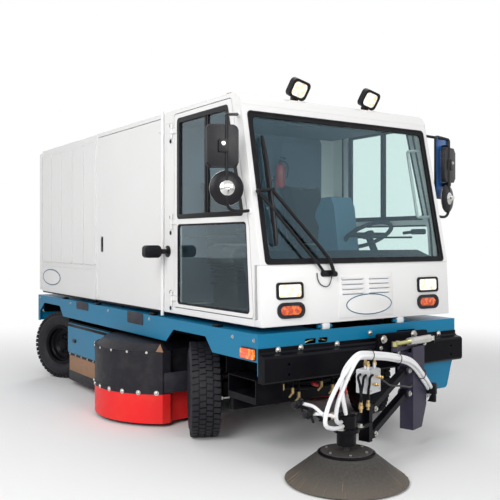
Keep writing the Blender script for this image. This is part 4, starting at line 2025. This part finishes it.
@dataclass
class Wheels:
    """Four wheels: tyre with tread, rim with nuts and cap."""

    tools: Toolbox
    radius: float = 0.34
    bead: float = 0.196
    width: float = 0.225
    nuts: int = 6
    nut_ring: float = 0.078
    holes: int = 8
    hole_ring: float = 0.138

    def frames(self, joints: Sequence[dict]) -> dict[str, Matrix]:
        """Return each wheel's frame with local z out along its axle."""
        found: dict[str, Matrix] = {}
        for joint in joints:
            child = joint["child"]
            if not child.startswith("wheel_"):
                continue
            out = Vector(joint["axis"])
            middle = Vector(joint["pos_m"])
            if out.x * middle.x < 0:
                out = -out
            where = stand(middle, UP.cross(out), (0, 0, 1))
            if (where.to_3x3() @ UP).dot(out) < 0:
                where = where @ Matrix.Rotation(math.pi, 4, "Y")
            found[child] = where
        return found

    def tyre(self, tag: str, body: str, where: Matrix) -> None:
        """Build one tyre: a carcass with ribs on its sides, and its lugs."""
        form = Form(f"tyre_carcass_{tag}", TYRE)
        half = self.width / 2
        side = [(self.bead, 0.076), (self.bead + 0.006, 0.086), (self.bead + 0.018, 0.09), (self.bead + 0.03, 0.101),
            (self.bead + 0.036, 0.099), (self.bead + 0.05, 0.108), (self.bead + 0.078, half - 0.001),
            (self.bead + 0.094, half - 0.002), (self.bead + 0.098, half + 0.001), (self.bead + 0.104, half - 0.004),
            (self.bead + 0.122, 0.102), (self.radius - 0.006, 0.092), (self.radius, 0.078)]
        profile = side + [(radius, -height) for radius, height in reversed(side)]
        form.lathe(profile, where, 72, closed=True)
        form.take(self.tools.tread.grow(TYRE, {"Lugs": 46, "Radius": self.radius + 0.001, "Lug depth": 0.023,
            "Lug length": 0.036, "Middle width": 0.044, "Shoulder width": 0.046, "Row pitch": 0.0485, "Slant": 0.12}),
            where)
        form.done(body, [f"tyre_{tag}"])

    def rim(self, tag: str, body: str, where: Matrix) -> None:
        """Fit the nuts, the hub cap and the valve."""
        out = where.to_3x3() @ UP
        points = [(where @ point, out) for point in circle(self.nut_ring, self.nuts, 0.03)]
        self.tools.fasteners(f"wheel_nuts_{tag}", 0.013, points, finish=BLACK, body=body)
        cap = Form(f"hub_cap_{tag}", BLACK)
        cap.lathe([(0.046, 0.028), (0.046, 0.058), (0.04, 0.068), (0.0, 0.072)], where, 28)
        for point in circle(self.hole_ring, self.holes, 0.041, 0.5):
            cap.lathe([(0.014, 0.0), (0.02, 0.0), (0.02, 0.004), (0.014, 0.004)], where @ Matrix.Translation(point), 16,
                closed=True)
        cap.done(body)
        Form(f"valve_{tag}", BRASS).rod(where @ Vector((0.165, 0.0, 0.04)), where @ Vector((0.172, 0.0, 0.072)), 0.0045,
            10).done(body)

    def build(self, joints: Sequence[dict]) -> None:
        """Build every wheel from the frame's joints."""
        for body, where in self.frames(joints).items():
            tag = body.removeprefix("wheel_")
            self.tyre(tag, body, where)
            self.rim(tag, body, where)
            paint({f"rim_{tag}": BLACK, f"knuckle_{tag}": BLACK})


# ---------------------------------------------------------------- brushes
@dataclass
class Brushes:
    """Side brushes with their guards, the front brush, the main brush and its box."""

    tools: Toolbox
    side_middle: Pair = (0.86, 1.85)
    arc: Triple = (0.5835, 1.848, 0.6565)
    strips: tuple[tuple[str, Finish, float, float, float, Triple, float], ...] = (
        ("lip", BLACK, 0.918, 2.945, 0.61, (0.018, 1.05, 0.028), 0.004),
        ("flap", TAN_RUBBER, 0.913, 2.955, 0.235, (0.006, 0.98, 0.18), 0.002),
        ("skid", RUBBER, 0.913, 2.955, 0.098, (0.01, 0.99, 0.1), 0.003),
        ("strip", BLACK, 0.914, 2.945, 0.318, (0.012, 1.04, 0.03), 0.003),
    )

    def disc(self, name: str, body: str, middle: Vector, radius: float, plate: float, finish: Finish, rings: int,
            top: float) -> None:
        """Build a cup brush of leaning bristles under a plate.

        Args:
            name: The piece's name.
            body: The body that it rides on.
            middle: The middle of its foot on the ground.
            radius: Its radius at the ground.
            plate: The radius of its plate.
            finish: The bristles' finish.
            rings: How many rings of bristles it has.
            top: The height of the bristles' roots.
        """
        form = Form(f"{name}_bristles", finish)
        for ring in range(rings):
            share = ring / max(1, rings - 1)
            root = plate * (1.0 - 0.36 * share)
            foot = radius * (0.985 - 0.3 * share) - 0.012
            mesh = self.tools.bristle.grow(finish, {"Strands": 420 - 50 * ring, "Root radius": root,
                "Lean out": foot - root, "Drop": top - 0.016, "Thickness": 0.0034, "Ruffle": 0.014, "Seed": 11 + ring})
            form.take(mesh, offset(middle.x, middle.y, top))
        form.done(body, sharp=180.0)
        Form(f"{name}_plate", BLACK).lathe([(plate * 0.55, top - 0.01), (plate + 0.012, top - 0.008),
            (plate + 0.014, top + 0.006), (plate + 0.004, top + 0.012), (plate * 0.55, top + 0.016)],
            offset(middle.x, middle.y, 0.0), 48, closed=True).done(body)
        self.tools.fasteners(f"{name}_plate_bolts", 0.009, [(middle + point, UP) for point in circle(plate * 0.78, 6,
            top + 0.014)], body=body)

    def edge(self, side: Side, angle: float, z: float, lift: float = 0.0) -> tuple[Vector, Vector]:
        """Return a point on the guard's round side and the way out there."""
        middle_x, middle_back, radius = self.arc
        turn = math.radians(angle)
        way = Vector((side.value * math.cos(turn), math.sin(turn), 0.0))
        x = side.value * (middle_x + (radius + lift) * math.cos(turn))
        return spot(x, middle_back + (radius + lift) * math.sin(turn), z), way

    def guard(self, side: Side) -> None:
        """Dress one side brush's guard: bands, washers, patch, corner strap and screws."""
        tag = side.tag
        band = Form(f"guard_band_{tag}", RUBBER)
        for z, height, lift in ((0.575, 0.024, 0.004), (0.275, 0.03, 0.004)):
            outer = [self.edge(side, -56.0 + 112.0 * k / 30, 0.0, lift)[0].xy for k in range(31)]
            inner = [self.edge(side, 56.0 - 112.0 * k / 30, 0.0, -0.003)[0].xy for k in range(31)]
            band.prism([tuple(point) for point in outer + inner], height, offset(0, 0, z - height / 2))
        band.done()
        self.tools.fasteners(f"guard_washers_{tag}", 0.013, [self.edge(side, -52.0 + 13.0 * k, 0.272, 0.004)
            for k in range(9)], head=Head.DOME)
        Form(f"guard_patch_{tag}", GREY_RUBBER).prism(slab(0.2, 0.16, 0.01), 0.008,
            front_face(side.value * 0.835, 1.2985, 0.35), 0.002).done()
        strap = Form(f"guard_corner_{tag}", TAN_RUBBER)
        place, way = self.edge(side, -54.0, 0.625, 0.002)
        strap.prism([(-0.028, -0.026), (0.032, -0.032), (0.008, 0.036)], 0.005, stand(place, UP.cross(way), (0, 0, 1)),
            0.001)
        strap.done()
        self.tools.fasteners(f"guard_screws_{tag}", 0.007, [self.edge(side, -45.0 + 15.0 * k, 0.59, 0.004)
            for k in range(7)], head=Head.DOME)

    def motor(self, side: Side, body: str) -> None:
        """Set the drive motor over the side brush."""
        x, back = self.side_middle
        form = Form(f"side_brush_motor_{side.tag}", CAST_IRON)
        where = Matrix.Translation(side.spot(x, back, 0.0))
        form.lathe([(0.062, 0.195), (0.066, 0.205), (0.066, 0.3), (0.05, 0.312), (0.044, 0.41), (0.0, 0.415)], where,
            28)
        form.done(body)

    def main(self) -> None:
        """Wind the main brush's bristle rows over its core."""
        form = Form("main_brush_bristles", DARK_BRISTLE)
        rows, steps, half = 12, 44, 0.755
        for row in range(rows):
            line = []
            for step in range(steps + 1):
                share = step / steps
                angle = 2 * math.pi * row / rows + share * 2.2
                line.append(Vector((-half + 2 * half * share, 0.0, 0.0)) + Vector((0.0, math.cos(angle),
                    math.sin(angle))) * 0.232)
            middle = spot(0.0, 2.945, 0.262)
            form.tube([middle + point for point in line], [0.015 + 0.0035 * math.sin(2.3 * k + row)
                for k in range(steps + 1)], 6)
        form.done("main_brush", sharp=180.0)

    def box(self) -> None:
        """Dress the main brush's box: door latches, lips, flaps, skids, strips and bolts."""
        for side in Side:
            latch = Form(f"box_latches_{side.tag}", PLASTIC)
            for back in (2.6, 3.28):
                latch.prism(slab(0.075, 0.03, 0.01), 0.014, side.plane(0.922, back, 0.46), 0.004)
            latch.done()
            for part, finish, out, back, z, size, edge in self.strips:
                Form(f"box_{part}_{side.tag}", finish).block(side.spot(out, back, z), size, edge=edge).done()
            self.tools.fasteners(f"box_bolts_{side.tag}", 0.008, [(side.spot(0.92, 2.48 + 0.155 * k, 0.318), side.out())
                for k in range(7)])

    def build(self) -> None:
        """Build all the brushes."""
        for side in Side:
            x, back = self.side_middle
            body = f"side_brush_{side.tag}"
            self.disc(body, body, side.spot(x, back, 0.0), 0.355, 0.15, BRISTLE, 3, 0.186)
            self.motor(side, body)
            self.guard(side)
            paint({body: DARK_BRISTLE})
        self.disc("front_brush", "front_brush", Vector((-0.6, -2.275, 0.0)), 0.38, 0.165, BRISTLE, 4, 0.17)
        self.main()
        self.box()
        paint({"front_brush": DARK_BRISTLE, "main_brush": DARK_BRISTLE, "side_brush_guards": RUBBER,
            "rubber_skirts": RED_RUBBER, "main_brush_box": BLACK, "brush_box_doors": TEAL})


def main() -> None:
    """Load the frame and dress every sub-assembly in turn."""
    logging.basicConfig(level=logging.INFO, format="%(message)s")
    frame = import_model()
    Studio().build()
    tools = Toolbox()
    FrontArm(tools).build()
    Cab(tools).build()
    CabInside().build()
    Lamps(tools).build()
    Mirrors(tools).build()
    Body(tools).build()
    Chassis(tools).build()
    Wheels(tools).build(frame["joints"])
    Brushes(tools).build()


if __name__ == "__main__":
    main()
